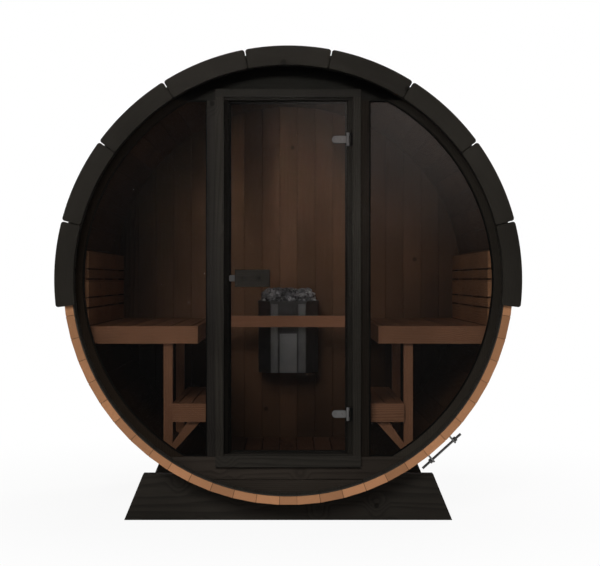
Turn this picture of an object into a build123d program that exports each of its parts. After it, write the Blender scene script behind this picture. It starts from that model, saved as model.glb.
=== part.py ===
"""Barrel sauna with a glazed front: staves, end walls, glass door, benches, heater, roof and cradles.

Millimetres. +X is the right side seen from the front, +Y runs from the front to the back, +Z is up.
The origin is on the ground, under the middle of the barrel.
"""

import os
from math import atan2, cos, degrees, radians, sin, sqrt, tan

from build123d import *

# Fits that every piece shares
seat_gap = 0.2
shell_gap = 0.3
overrun = 10.0

# Barrel of flat staves
barrel_clearance = 90.0
stave_count = 59
closing_stave_width = 78.0
stave_inner_apothem = 953.0
stave_thickness = 42.0
stave_length = 1750.0
stave_joint_gap = 0.4
stave_edge_chamfer = 2.5
bottom_angle = -90.0
bottom_beside_count = 4
side_group_count = 10

# End walls, let into grooves near the ends of the staves
wall_thickness = 42.0
wall_setback = 85.0
croze_depth = 12.0
croze_clearance = 0.5

# Front wall
window_rim_width = 44.5
lintel_depth = 162.5
bottom_panel_depth = 171.5
post_width = 67.5
window_glass_thickness = 8.0
window_glass_setback = 14.0

# Door frame
casing_width = 36.0
casing_proud = 20.0
casing_reveal = 19.5
casing_head_rise = 13.0
casing_head_height = 35.0
casing_sill_height = 51.0
casing_sill_lap = 6.0
jamb_lap = 6.0
jamb_sill_height = 12.0
jamb_head_height = 19.0
stop_width = 13.5
stop_depth = 24.0

# Glass door leaf
door_width = 525.0
door_glass_thickness = 8.0
door_glass_setback = 5.0
door_side_gap = 7.0
door_end_gap = 6.0

# Door hinges
hinge_offset = 3.5
hinge_forward = 8.0
hinge_top_inset = 169.0
hinge_bottom_inset = 173.0
knuckle_radius = 6.0
knuckle_side_count = 20
knuckle_height = 59.0
knuckle_middle = 30.0
knuckle_end_gap = 0.6
pin_radius = 3.0
pin_clearance = 0.4
pin_side_count = 12
clamp_length = 58.0
clamp_height = 32.0
clamp_thickness = 10.0
clamp_back_thickness = 8.0
clamp_start = 12.0
clamp_back_clearance = 5.5
clamp_bolt_radius = 6.0
clamp_bolt_spacing = 26.0
clamp_arm_end = 2.0
frame_plate_width = 9.0
frame_plate_thickness = 6.0

# Door handle and latch
handle_length = 156.0
handle_height = 78.0
handle_thickness = 28.0
handle_standoff = 20.0
handle_edge = 24.5
handle_chamfer = 4.0
handle_height_above_axis = 5.5
handle_bolt_spacing = 66.5
handle_bolt_first = 67.5
handle_bolt_radius = 5.0
handle_bolt_clearance = 0.3
handle_spacer_radius = 9.0
bolt_side_count = 8
handle_head_height = 3.0
glass_hole_clearance = 0.6
latch_length = 27.0
latch_height = 28.0
latch_thickness = 9.0
latch_overhang = 1.5
latch_corner = 4.0

# Roof covering and the curved boards along its two ends
fascia_lap = 7.0
fascia_width = 85.0
fascia_thickness = 25.0
fascia_count = 9
fascia_turn_angle = 21.55
fascia_gap = 7.0
fascia_corner = 5.0
roof_half_angle = 96.0
course_count = 16
course_upper_thickness = 5.0
course_lower_thickness = 10.0
course_gap = 0.5

# Tension bands with their bolts
band_thickness = 1.5
band_width = 36.0
band_inset = 45.0
band_bolt_angle = -47.8
lug_spread = 126.0
lug_height = 42.0
lug_thickness = 8.0
rod_radius = 6.0
rod_side_count = 12
rod_height = 26.0
rod_length = 229.0
rod_shift = 7.0
nut_radius = 11.0
nut_side_count = 6
nut_height = 12.0

# Cradles
cradle_bottom_width = 1480.0
cradle_top_width = 1309.0
cradle_wrap = 117.0
cradle_thickness = 60.0
cradle_inset = 135.0

# Slatted floor
floor_rise = 86.7
floor_slat_count = 7
floor_slat_width = 82.0
floor_slat_gap = 8.0
floor_slat_thickness = 22.0
floor_bearer_count = 3
floor_bearer_width = 45.0
floor_end_gap = 25.0

# Benches
bench_front_gap = 48.0
bench_board = 28.0
bench_inner = 410.0
bench_rise = 654.0
bench_apron_height = 79.0
bench_slat_count = 5
bench_slat_gap = 10.0
bench_wall_gap = 17.0
step_width = 176.7
step_rise = 303.0
step_apron_height = 83.0
step_board = 24.0
step_slat_count = 2
step_slat_gap = 6.0
step_length = 1038.0
leg_inner = 527.0
leg_width = 41.0
leg_thickness = 40.0
second_leg_distance = 747.0
brace_width = 29.0
brace_reach = 128.0
brace_foot_rise = 34.0

# Backrests
backrest_cleat_least = 3.5
backrest_board_thickness = 21.0
backrest_wide = 76.0
backrest_narrow = 39.0
backrest_gap = 8.0
backrest_lift = 3.0
backrest_cleat_width = 40.0
backrest_cleat_inset = 120.0
backrest_cleat_count = 3

# Heater and its guard rail
guard_height = 59.0
guard_rise = 20.0
guard_thickness = 30.0
guard_gap = 48.0
heater_width = 320.0
heater_depth = 270.0
heater_rise = 367.0
heater_height = 384.0
heater_front_width = 190.0
heater_cant_depth = 90.0
heater_wall = 9.0
heater_pocket = 130.0
heater_rim_height = 14.0
heater_rim_proud = 4.0
heater_panel_width = 96.0
heater_groove_width = 12.0
heater_groove_depth = 6.0
stone_rise = 80.0
stone_slope_angle = 22.0

# Sizes that follow from those above
stave_outer_apothem = stave_inner_apothem + stave_thickness
closing_half_angle = degrees(atan2(closing_stave_width / 2, stave_outer_apothem))
stave_turn = (360.0 - 2 * closing_half_angle) / stave_count
half_turn = stave_turn / 2
stave_corner_radius = stave_outer_apothem / cos(radians(half_turn))
axis_height = barrel_clearance + stave_outer_apothem
stave_front = -stave_length / 2
stave_back = stave_length / 2
shell_radius = stave_inner_apothem - shell_gap
wall_radius = stave_inner_apothem + croze_depth - croze_clearance
wall_front = stave_front + wall_setback
wall_inside = wall_front + wall_thickness
rear_wall_back = -wall_front
rear_wall_inside = -wall_inside
window_radius = wall_radius - window_rim_width
window_top = wall_radius - lintel_depth
window_bottom = wall_radius - bottom_panel_depth
door_half = door_width / 2
jamb_inner = door_half + door_side_gap
casing_inner = jamb_inner + casing_reveal
casing_outer = casing_inner + casing_width
casing_head_bottom = window_top + casing_head_rise
doorway_half = casing_inner + jamb_lap
doorway_top = casing_head_bottom + jamb_lap
post_outer = doorway_half + post_width
jamb_sill_top = -window_bottom + jamb_sill_height
jamb_head_bottom = doorway_top - jamb_head_height
stop_inner = jamb_inner - stop_width
stop_front = wall_inside - stop_depth
door_bottom = jamb_sill_top + door_end_gap
door_top = jamb_head_bottom - door_end_gap
door_front = wall_front + door_glass_setback
door_back = door_front + door_glass_thickness
hinge_x = door_half + hinge_offset
hinge_y = wall_front - hinge_forward
hinge_heights = (door_top - hinge_top_inset, door_bottom + hinge_bottom_inset)
floor_height = axis_height - shell_radius + floor_rise
sides = (("left", -1), ("right", 1))

os.makedirs("parts", exist_ok=True)


def section(y):
    """Plane across the barrel at y, seen from the front, with its origin on the barrel's axis."""
    return Plane(origin=(0, y, axis_height), x_dir=(1, 0, 0), z_dir=(0, -1, 0))


def elevation(y):
    """Plane across the barrel at y, seen from the front, with its origin on the ground."""
    return Plane(origin=(0, y, 0), x_dir=(1, 0, 0), z_dir=(0, -1, 0))


def level(z):
    """Horizontal plane at height z above the barrel's axis."""
    return Plane.XY.offset(axis_height + z)


def save(part, name):
    """Label a finished piece and write it as its own file."""
    part.label = name
    export_step(part, f"parts/{name}.step")


def shell_reach(height):
    """Distance from the middle plane to the inner face of the staves at a height above the ground."""
    return sqrt(shell_radius**2 - (height - axis_height) ** 2)


# Staves: flat boards with bevelled edges, a narrow one that closes the ring at the bottom,
# and a groove near each end for the end walls
def stave_profile(half_angle):
    """Section of one stave, drawn along +X from the barrel's axis, with its four edges eased."""
    slope = tan(radians(half_angle))
    inner_half = stave_inner_apothem * slope - stave_joint_gap / 2
    outer_half = stave_outer_apothem * slope - stave_joint_gap / 2
    inner_side_half = inner_half + stave_edge_chamfer * slope
    outer_side_half = outer_half - stave_edge_chamfer * slope
    inner_side = stave_inner_apothem + stave_edge_chamfer
    outer_side = stave_outer_apothem - stave_edge_chamfer
    return (
        (stave_inner_apothem, stave_edge_chamfer - inner_half),
        (inner_side, -inner_side_half),
        (outer_side, -outer_side_half),
        (stave_outer_apothem, stave_edge_chamfer - outer_half),
        (stave_outer_apothem, outer_half - stave_edge_chamfer),
        (outer_side, outer_side_half),
        (inner_side, inner_side_half),
        (stave_inner_apothem, inner_half - stave_edge_chamfer),
    )


def joint_angle(index):
    """Angle of the joint before a stave, counted anticlockwise from the right edge of the closing stave."""
    return bottom_angle + closing_half_angle + index * stave_turn


def croze_profile(half_angle):
    """Section of the groove across one stave, flat and parallel to its inner face."""
    slope = tan(radians(half_angle))
    mouth = stave_inner_apothem - overrun
    bottom = stave_inner_apothem + croze_depth
    return (
        (mouth, -mouth * slope),
        (bottom, -bottom * slope),
        (bottom, bottom * slope),
        (mouth, mouth * slope),
    )


# The staves beside the closing stave share its piece, and the rest form groups round the ring
top_group_count = stave_count - 2 * bottom_beside_count - 4 * side_group_count
group_counts = {
    "lower_right_staves": side_group_count,
    "upper_right_staves": side_group_count,
    "top_staves": top_group_count,
    "upper_left_staves": side_group_count,
    "lower_left_staves": side_group_count,
    "bottom_staves": 2 * bottom_beside_count,
}
croze_width = wall_thickness + 2 * seat_gap
first_stave = bottom_beside_count
for name, group_count in group_counts.items():
    places = []
    for index in range(first_stave, first_stave + group_count):
        passed_closing = 2 * closing_half_angle if index >= stave_count else 0
        places.append((joint_angle(index) + half_turn + passed_closing, half_turn))
    if name == "bottom_staves":
        places.append((bottom_angle, closing_half_angle))
    with BuildPart() as staves:
        with BuildSketch(section(stave_back)):
            for angle, half_angle in places:
                with PolarLocations(0, 1, angle):
                    Polygon(*stave_profile(half_angle), align=None)
        extrude(amount=stave_length)
        for croze_back in (wall_inside + seat_gap, rear_wall_back + seat_gap):
            with BuildSketch(section(croze_back)):
                for angle, half_angle in places:
                    with PolarLocations(0, 1, angle):
                        Polygon(*croze_profile(half_angle), align=None)
            extrude(amount=croze_width, mode=Mode.SUBTRACT)
    save(staves.part, name)
    first_stave = first_stave + group_count

# Front wall: a panel under the door, a panel over it, two posts and the rims round the windows
with BuildPart() as front_lintel:
    with BuildSketch(section(wall_inside)):
        Circle(wall_radius)
        with Locations((0, window_top)):
            Rectangle(2 * wall_radius, wall_radius, align=(Align.CENTER, Align.MIN), mode=Mode.INTERSECT)
            Rectangle(
                2 * doorway_half,
                doorway_top - window_top,
                align=(Align.CENTER, Align.MIN),
                mode=Mode.SUBTRACT,
            )
    extrude(amount=wall_thickness)
save(front_lintel.part, "front_lintel")

with BuildPart() as front_bottom_panel:
    with BuildSketch(section(wall_inside)):
        Circle(wall_radius)
        with Locations((0, -window_bottom)):
            Rectangle(2 * wall_radius, wall_radius, align=(Align.CENTER, Align.MAX), mode=Mode.INTERSECT)
    extrude(amount=wall_thickness)
save(front_bottom_panel.part, "front_bottom_panel")

window_height = window_top + window_bottom
for side, sign in sides:
    outward = Align.MIN if sign > 0 else Align.MAX

    with BuildPart() as window_rim:
        with BuildSketch(section(wall_inside)):
            Circle(wall_radius)
            Circle(window_radius, mode=Mode.SUBTRACT)
            with Locations((0, -window_bottom)):
                Rectangle(wall_radius, window_height, align=(outward, Align.MIN), mode=Mode.INTERSECT)
        extrude(amount=wall_thickness)
    save(window_rim.part, f"{side}_window_rim")

    with BuildPart() as door_post:
        with BuildSketch(section(wall_inside)):
            with Locations((sign * doorway_half, -window_bottom)):
                Rectangle(post_outer - doorway_half, window_height, align=(outward, Align.MIN))
        extrude(amount=wall_thickness)
    save(door_post.part, f"{side}_door_post")

    with BuildPart() as window_glass:
        with BuildSketch(section(wall_front + window_glass_setback + window_glass_thickness)):
            Circle(window_radius - seat_gap)
            with Locations((sign * (post_outer + seat_gap), seat_gap - window_bottom)):
                Rectangle(
                    window_radius,
                    window_height - 2 * seat_gap,
                    align=(outward, Align.MIN),
                    mode=Mode.INTERSECT,
                )
        extrude(amount=window_glass_thickness)
    save(window_glass.part, f"{side}_window_glass")

# Door frame: a casing on the face of the wall and a rebated jamb inside the doorway
casing_sill_top = -window_bottom + casing_sill_lap
for side, sign in sides:
    outward = Align.MIN if sign > 0 else Align.MAX
    with BuildPart() as door_frame_side:
        with BuildSketch(section(wall_front)):
            with Locations((sign * casing_inner, casing_sill_top)):
                Rectangle(casing_width, casing_head_bottom - casing_sill_top, align=(outward, Align.MIN))
        extrude(amount=casing_proud)
        with BuildSketch(level(jamb_sill_top)):
            with BuildLine():
                Polyline(
                    (sign * jamb_inner, wall_front),
                    (sign * doorway_half, wall_front),
                    (sign * doorway_half, wall_inside),
                    (sign * stop_inner, wall_inside),
                    (sign * stop_inner, stop_front),
                    (sign * jamb_inner, stop_front),
                    close=True,
                )
            make_face()
        extrude(amount=jamb_head_bottom - jamb_sill_top)
    save(door_frame_side.part, f"door_frame_{side}")

with BuildPart() as door_frame_head:
    with BuildSketch(section(wall_front)):
        with Locations((0, casing_head_bottom)):
            Rectangle(2 * casing_outer, casing_head_height, align=(Align.CENTER, Align.MIN))
    extrude(amount=casing_proud)
    with BuildSketch(section(wall_inside)):
        with Locations((0, jamb_head_bottom)):
            Rectangle(2 * doorway_half, jamb_head_height, align=(Align.CENTER, Align.MIN))
    extrude(amount=wall_thickness)
    with BuildSketch(section(wall_inside)):
        with Locations((0, jamb_head_bottom)):
            Rectangle(2 * stop_inner, stop_width, align=(Align.CENTER, Align.MAX))
    extrude(amount=stop_depth)
save(door_frame_head.part, "door_frame_head")

with BuildPart() as door_frame_sill:
    with BuildSketch(section(wall_front)):
        with Locations((0, casing_sill_top)):
            Rectangle(2 * casing_outer, casing_sill_height, align=(Align.CENTER, Align.MAX))
    extrude(amount=casing_proud)
    with BuildSketch(section(wall_inside)):
        with Locations((0, -window_bottom)):
            Rectangle(2 * doorway_half, jamb_sill_height, align=(Align.CENTER, Align.MIN))
    extrude(amount=wall_thickness)
    with BuildSketch(section(wall_inside)):
        with Locations((0, jamb_sill_top)):
            Rectangle(2 * stop_inner, stop_width, align=(Align.CENTER, Align.MIN))
    extrude(amount=stop_depth)
save(door_frame_sill.part, "door_frame_sill")

# Glass door, drilled for the hinge clamps and the handle
clamp_end = hinge_x - clamp_start
clamp_radius = clamp_height / 2
clamp_round = clamp_end - clamp_length + clamp_radius
clamp_bolts = [
    (clamp_round + place * clamp_bolt_spacing, height) for height in hinge_heights for place in range(2)
]
handle_bolts = [
    (-door_half + handle_bolt_first + place * handle_bolt_spacing, handle_height_above_axis)
    for place in range(2)
]
with BuildPart() as door_glass:
    with BuildSketch(section(door_back)):
        with Locations((0, door_bottom)):
            Rectangle(2 * door_half, door_top - door_bottom, align=(Align.CENTER, Align.MIN))
        with Locations(*clamp_bolts):
            RegularPolygon(clamp_bolt_radius + glass_hole_clearance, bolt_side_count, mode=Mode.SUBTRACT)
        with Locations(*handle_bolts):
            RegularPolygon(handle_bolt_radius + glass_hole_clearance, bolt_side_count, mode=Mode.SUBTRACT)
    extrude(amount=door_glass_thickness)
save(door_glass.part, "door_glass")

# Hinges: clamps bolted through the glass, turning on pins that plates on the jamb hold
clamp_back_end = stop_inner - clamp_back_clearance
with BuildPart() as door_hinge_clamps:
    for height in hinge_heights:
        with BuildSketch(section(door_front)):
            with Locations((clamp_end, height)):
                Rectangle(clamp_end - clamp_round, clamp_height, align=(Align.MAX, Align.CENTER))
            with Locations((clamp_round, height)):
                Circle(clamp_radius)
            with Locations((hinge_x - clamp_arm_end, height)):
                Rectangle(clamp_start, knuckle_middle, align=(Align.MAX, Align.CENTER))
        extrude(amount=clamp_thickness)
        with BuildSketch(section(door_back + clamp_back_thickness)):
            with Locations((clamp_back_end, height)):
                Rectangle(clamp_back_end - clamp_round, clamp_height, align=(Align.MAX, Align.CENTER))
            with Locations((clamp_round, height)):
                Circle(clamp_radius)
        extrude(amount=clamp_back_thickness)
        with BuildSketch(level(height - knuckle_middle / 2)):
            with Locations((hinge_x, hinge_y)):
                RegularPolygon(knuckle_radius, knuckle_side_count)
        extrude(amount=knuckle_middle)
        with BuildSketch(level(height - knuckle_middle / 2)):
            with Locations((hinge_x, hinge_y)):
                RegularPolygon(pin_radius + pin_clearance, pin_side_count)
        extrude(amount=knuckle_middle, mode=Mode.SUBTRACT)
    with BuildSketch(section(door_back)):
        with Locations(*clamp_bolts):
            RegularPolygon(clamp_bolt_radius, bolt_side_count)
    extrude(amount=door_glass_thickness)
save(door_hinge_clamps.part, "door_hinge_clamps")

frame_plate_outer = casing_inner - seat_gap
frame_plate_inner = frame_plate_outer - frame_plate_width
frame_knuckle_height = knuckle_height / 2 - knuckle_middle / 2 - knuckle_end_gap
with BuildPart() as frame_hinge_plates:
    for height in hinge_heights:
        with BuildSketch(section(wall_front)):
            with Locations((frame_plate_outer, height)):
                Rectangle(frame_plate_width, knuckle_height, align=(Align.MAX, Align.CENTER))
        extrude(amount=frame_plate_thickness)
        for knuckle_bottom in (height - knuckle_height / 2, height + knuckle_middle / 2 + knuckle_end_gap):
            with BuildSketch(level(knuckle_bottom)):
                with Locations((hinge_x, hinge_y)):
                    RegularPolygon(knuckle_radius, knuckle_side_count)
                with Locations((hinge_x, wall_front)):
                    Rectangle(
                        frame_plate_inner - hinge_x, frame_plate_thickness, align=(Align.MIN, Align.MAX)
                    )
            extrude(amount=frame_knuckle_height)
        with BuildSketch(level(height - knuckle_height / 2)):
            with Locations((hinge_x, hinge_y)):
                RegularPolygon(pin_radius, pin_side_count)
        extrude(amount=knuckle_height)
save(frame_hinge_plates.part, "frame_hinge_plates")

# Door handle: a wooden pull on each side of the glass, carried on two bolts with spacers
handle_outside_back = door_front - handle_standoff
handle_inside_front = door_back + handle_standoff
handle_faces = (
    ("door_handle_outside", handle_outside_back),
    ("door_handle_inside", handle_inside_front + handle_thickness),
)
for name, handle_back in handle_faces:
    with BuildPart() as door_handle:
        with BuildSketch(section(handle_back)):
            with Locations((-door_half + handle_edge, handle_height_above_axis)):
                Rectangle(handle_length, handle_height, align=(Align.MIN, Align.CENTER))
        extrude(amount=handle_thickness)
        outer_face = door_handle.faces().sort_by(Axis.Y)[0 if handle_back == handle_outside_back else -1]
        chamfer(outer_face.edges(), handle_chamfer)
        with BuildSketch(section(handle_back)):
            with Locations(*handle_bolts):
                RegularPolygon(handle_bolt_radius + handle_bolt_clearance, bolt_side_count)
        extrude(amount=handle_thickness, mode=Mode.SUBTRACT)
    save(door_handle.part, name)

with BuildPart() as door_handle_bolts:
    handle_span = 2 * (handle_standoff + handle_thickness + handle_head_height) + door_glass_thickness
    bolt_end = handle_inside_front + handle_thickness + handle_head_height
    with BuildSketch(section(bolt_end)):
        with Locations(*handle_bolts):
            RegularPolygon(handle_bolt_radius, bolt_side_count)
    extrude(amount=handle_span)
    for collar_back, collar_length in (
        (bolt_end, handle_head_height),
        (handle_inside_front, handle_standoff),
        (door_front, handle_standoff),
        (handle_outside_back - handle_thickness, handle_head_height),
    ):
        with BuildSketch(section(collar_back)):
            with Locations(*handle_bolts):
                RegularPolygon(handle_spacer_radius, bolt_side_count)
        extrude(amount=collar_length)
save(door_handle_bolts.part, "door_handle_bolts")

with BuildPart() as door_latch:
    with BuildSketch(section(door_front)):
        with Locations((-door_half - latch_overhang, handle_height_above_axis)):
            Rectangle(latch_length, latch_height, align=(Align.MIN, Align.CENTER))
    extrude(amount=latch_thickness)
    chamfer(door_latch.edges().filter_by(Axis.Y), latch_corner)
save(door_latch.part, "door_latch")

# Rear wall
with BuildPart() as rear_wall:
    with BuildSketch(section(rear_wall_back)):
        Circle(wall_radius)
    extrude(amount=wall_thickness)
save(rear_wall.part, "rear_wall")


def polar(radius, angle):
    """Point at a radius and an angle, in degrees from +X."""
    return (radius * cos(radians(angle)), radius * sin(radians(angle)))


# Roof edge: nine curved boards over the ends of the upper staves, at the front and at the back
fascia_inner_radius = stave_inner_apothem - fascia_lap
fascia_outer_radius = fascia_inner_radius + fascia_width
fascia_middle_radius = (fascia_inner_radius + fascia_outer_radius) / 2
fascia_half = fascia_turn_angle / 2 - degrees(fascia_gap / 2 / fascia_middle_radius)
with BuildSketch() as fascia_board:
    with BuildLine():
        ThreePointArc(
            polar(fascia_outer_radius, -fascia_half),
            polar(fascia_outer_radius, 0),
            polar(fascia_outer_radius, fascia_half),
        )
        Line(polar(fascia_outer_radius, fascia_half), polar(fascia_inner_radius, fascia_half))
        ThreePointArc(
            polar(fascia_inner_radius, fascia_half),
            polar(fascia_inner_radius, 0),
            polar(fascia_inner_radius, -fascia_half),
        )
        Line(polar(fascia_inner_radius, -fascia_half), polar(fascia_outer_radius, -fascia_half))
    make_face()
    chamfer(fascia_board.vertices().group_by(Axis.X)[-1], fascia_corner)
fascia_first = 90.0 - (fascia_count - 1) / 2 * fascia_turn_angle
for name, fascia_back in (
    ("front_roof_fascia", stave_front),
    ("rear_roof_fascia", stave_back + fascia_thickness),
):
    with BuildPart() as roof_fascia:
        with BuildSketch(section(fascia_back)):
            with PolarLocations(0, fascia_count, fascia_first, fascia_count * fascia_turn_angle):
                add(fascia_board.sketch)
        extrude(amount=fascia_thickness)
    save(roof_fascia.part, name)

# Tension bands: a steel strap round the staves near each end, drawn tight by a threaded rod
band_radius = stave_corner_radius + seat_gap
band_outer_radius = band_radius + band_thickness
joint_angles = [joint_angle(index) for index in range(stave_count + 1)]
rod_radius_out = band_outer_radius + rod_height
lug_half = lug_spread / 2
lug_foot = sqrt(band_radius**2 - lug_half**2) - lug_thickness
rod_place = polar(rod_radius_out, band_bolt_angle)
rod_direction = (-sin(radians(band_bolt_angle)), 0, cos(radians(band_bolt_angle)))
for end, band_back in (
    ("front", stave_front + band_inset + band_width / 2),
    ("rear", stave_back - band_inset + band_width / 2),
):
    rod_plane = Plane(
        origin=(rod_place[0], band_back - band_width / 2, axis_height + rod_place[1]),
        x_dir=(0, 1, 0),
        z_dir=rod_direction,
    )
    with BuildPart() as tension_band:
        with BuildSketch(section(band_back)):
            Polygon(*[polar(band_outer_radius, angle) for angle in joint_angles], align=None)
            with PolarLocations(lug_foot, 1, band_bolt_angle):
                Rectangle(2 * lug_height, lug_spread, mode=Mode.SUBTRACT)
                with Locations((0, lug_half), (0, -lug_half)):
                    Rectangle(lug_thickness + lug_height, lug_thickness, align=(Align.MIN, Align.CENTER))
            Polygon(*[polar(band_radius, angle) for angle in joint_angles], align=None, mode=Mode.SUBTRACT)
        extrude(amount=band_width)
        with BuildSketch(rod_plane.offset(-lug_spread)):
            RegularPolygon(rod_radius + seat_gap, rod_side_count)
        extrude(amount=2 * lug_spread, mode=Mode.SUBTRACT)
    save(tension_band.part, f"{end}_tension_band")

    with BuildPart() as band_bolt:
        with BuildSketch(rod_plane.offset(-rod_length / 2 - rod_shift)):
            RegularPolygon(rod_radius, rod_side_count)
        extrude(amount=rod_length)
        for nut_start in (lug_half + lug_thickness / 2, -lug_half - lug_thickness / 2 - nut_height):
            with BuildSketch(rod_plane.offset(nut_start)):
                RegularPolygon(nut_radius, nut_side_count)
            extrude(amount=nut_height)
    save(band_bolt.part, f"{end}_band_bolt")

# Roof covering: courses of shingles between the roof edge boards, each thicker at its lower edge
roof_radius = band_outer_radius + shell_gap
course_angle = 2 * roof_half_angle / course_count
course_gap_angle = degrees(course_gap / roof_radius)
with BuildPart() as roof_cover:
    with BuildSketch(section(stave_back)):
        for side, sign in sides:
            for course in range(course_count // 2):
                upper = 90.0 - sign * (course * course_angle + course_gap_angle / 2)
                lower = 90.0 - sign * ((course + 1) * course_angle - course_gap_angle / 2)
                middle = (upper + lower) / 2
                upper_radius = roof_radius + course_upper_thickness
                lower_radius = roof_radius + course_lower_thickness
                middle_radius = (upper_radius + lower_radius) / 2
                with BuildLine():
                    ThreePointArc(
                        polar(roof_radius, upper), polar(roof_radius, middle), polar(roof_radius, lower)
                    )
                    Line(polar(roof_radius, lower), polar(lower_radius, lower))
                    ThreePointArc(
                        polar(lower_radius, lower), polar(middle_radius, middle), polar(upper_radius, upper)
                    )
                    Line(polar(upper_radius, upper), polar(roof_radius, upper))
                make_face()
    extrude(amount=stave_length)
save(roof_cover.part, "roof_cover")

# Cradles: a sawn timber under each end, hollowed to the round of the barrel
cradle_height = barrel_clearance + cradle_wrap
cradle_outline = (
    (-cradle_bottom_width / 2, 0),
    (cradle_bottom_width / 2, 0),
    (cradle_top_width / 2, cradle_height),
    (-cradle_top_width / 2, cradle_height),
)
for name, cradle_back in (
    ("front_cradle", stave_front + cradle_inset + cradle_thickness),
    ("rear_cradle", stave_back - cradle_inset),
):
    with BuildPart() as cradle:
        with BuildSketch(elevation(cradle_back)):
            Polygon(*cradle_outline, align=None)
            with Locations((0, axis_height)):
                Circle(stave_corner_radius + seat_gap, mode=Mode.SUBTRACT)
        extrude(amount=cradle_thickness)
    save(cradle.part, name)

# Slatted floor on bearers cut to the curve of the staves
floor_front = wall_inside + floor_end_gap
floor_back = rear_wall_inside - floor_end_gap
floor_slat_step = floor_slat_width + floor_slat_gap
floor_width = floor_slat_count * floor_slat_step - floor_slat_gap
slat_underside = floor_height - floor_slat_thickness
bearer_step = (floor_back - floor_front - floor_bearer_width) / (floor_bearer_count - 1)
with BuildPart() as floor_duckboard:
    with BuildSketch(elevation(floor_back)):
        with Locations((0, floor_height - floor_slat_thickness / 2)):
            with GridLocations(floor_slat_step, 0, floor_slat_count, 1):
                Rectangle(floor_slat_width, floor_slat_thickness)
    extrude(amount=floor_back - floor_front)
    for bearer in range(floor_bearer_count):
        with BuildSketch(elevation(floor_front + floor_bearer_width + bearer * bearer_step)):
            with Locations((0, axis_height)):
                Circle(shell_radius)
            Rectangle(floor_width, slat_underside, align=(Align.CENTER, Align.MIN), mode=Mode.INTERSECT)
        extrude(amount=floor_bearer_width)
save(floor_duckboard.part, "floor_duckboard")


def board(x_from, x_to, y_from, y_to, z_from, z_to):
    """Square-edged board between two places along each axis."""
    with Locations(((x_from + x_to) / 2, (y_from + y_to) / 2, (z_from + z_to) / 2)):
        Box(abs(x_to - x_from), y_to - y_from, z_to - z_from)


# Benches: an upper bench and a step on each side, on legs that stand on the staves
bench_front = wall_inside + bench_front_gap
bench_back = rear_wall_inside - shell_gap
bench_height = floor_height + bench_rise
bench_bottom = bench_height - bench_apron_height
slat_bottom = bench_height - bench_board
bench_outer = shell_reach(slat_bottom) - bench_wall_gap
slat_room = bench_outer - bench_inner - bench_board
bench_slat_width = slat_room / bench_slat_count - bench_slat_gap
leg_top = slat_bottom - seat_gap
bearer_inner = bench_inner + bench_board + shell_gap
leg_foot = axis_height - sqrt(shell_radius**2 - leg_inner**2)
brace_foot_height = leg_foot + brace_foot_rise
step_outer = leg_inner - shell_gap
step_inner = step_outer - step_width
step_height = floor_height + step_rise
step_bottom = step_height - step_apron_height
step_back = bench_front + step_length
step_slat_room = step_width - 2 * step_board - step_slat_gap
step_slat_width = step_slat_room / step_slat_count - step_slat_gap
frame_front = bench_front + bench_board + shell_gap
frame_places = (frame_front, frame_front + second_leg_distance)
backrest_boards = (backrest_wide, backrest_narrow, backrest_wide, backrest_narrow, backrest_wide)
backrest_bottom = bench_height + backrest_lift
backrest_height = sum(backrest_boards) + (len(backrest_boards) - 1) * backrest_gap
backrest_reach = min(shell_reach(backrest_bottom), shell_reach(backrest_bottom + backrest_height))
backrest_back = backrest_reach - backrest_cleat_least
backrest_face = backrest_back - backrest_board_thickness
cleat_step = (bench_back - bench_front - 2 * backrest_cleat_inset) / (backrest_cleat_count - 1)
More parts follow.
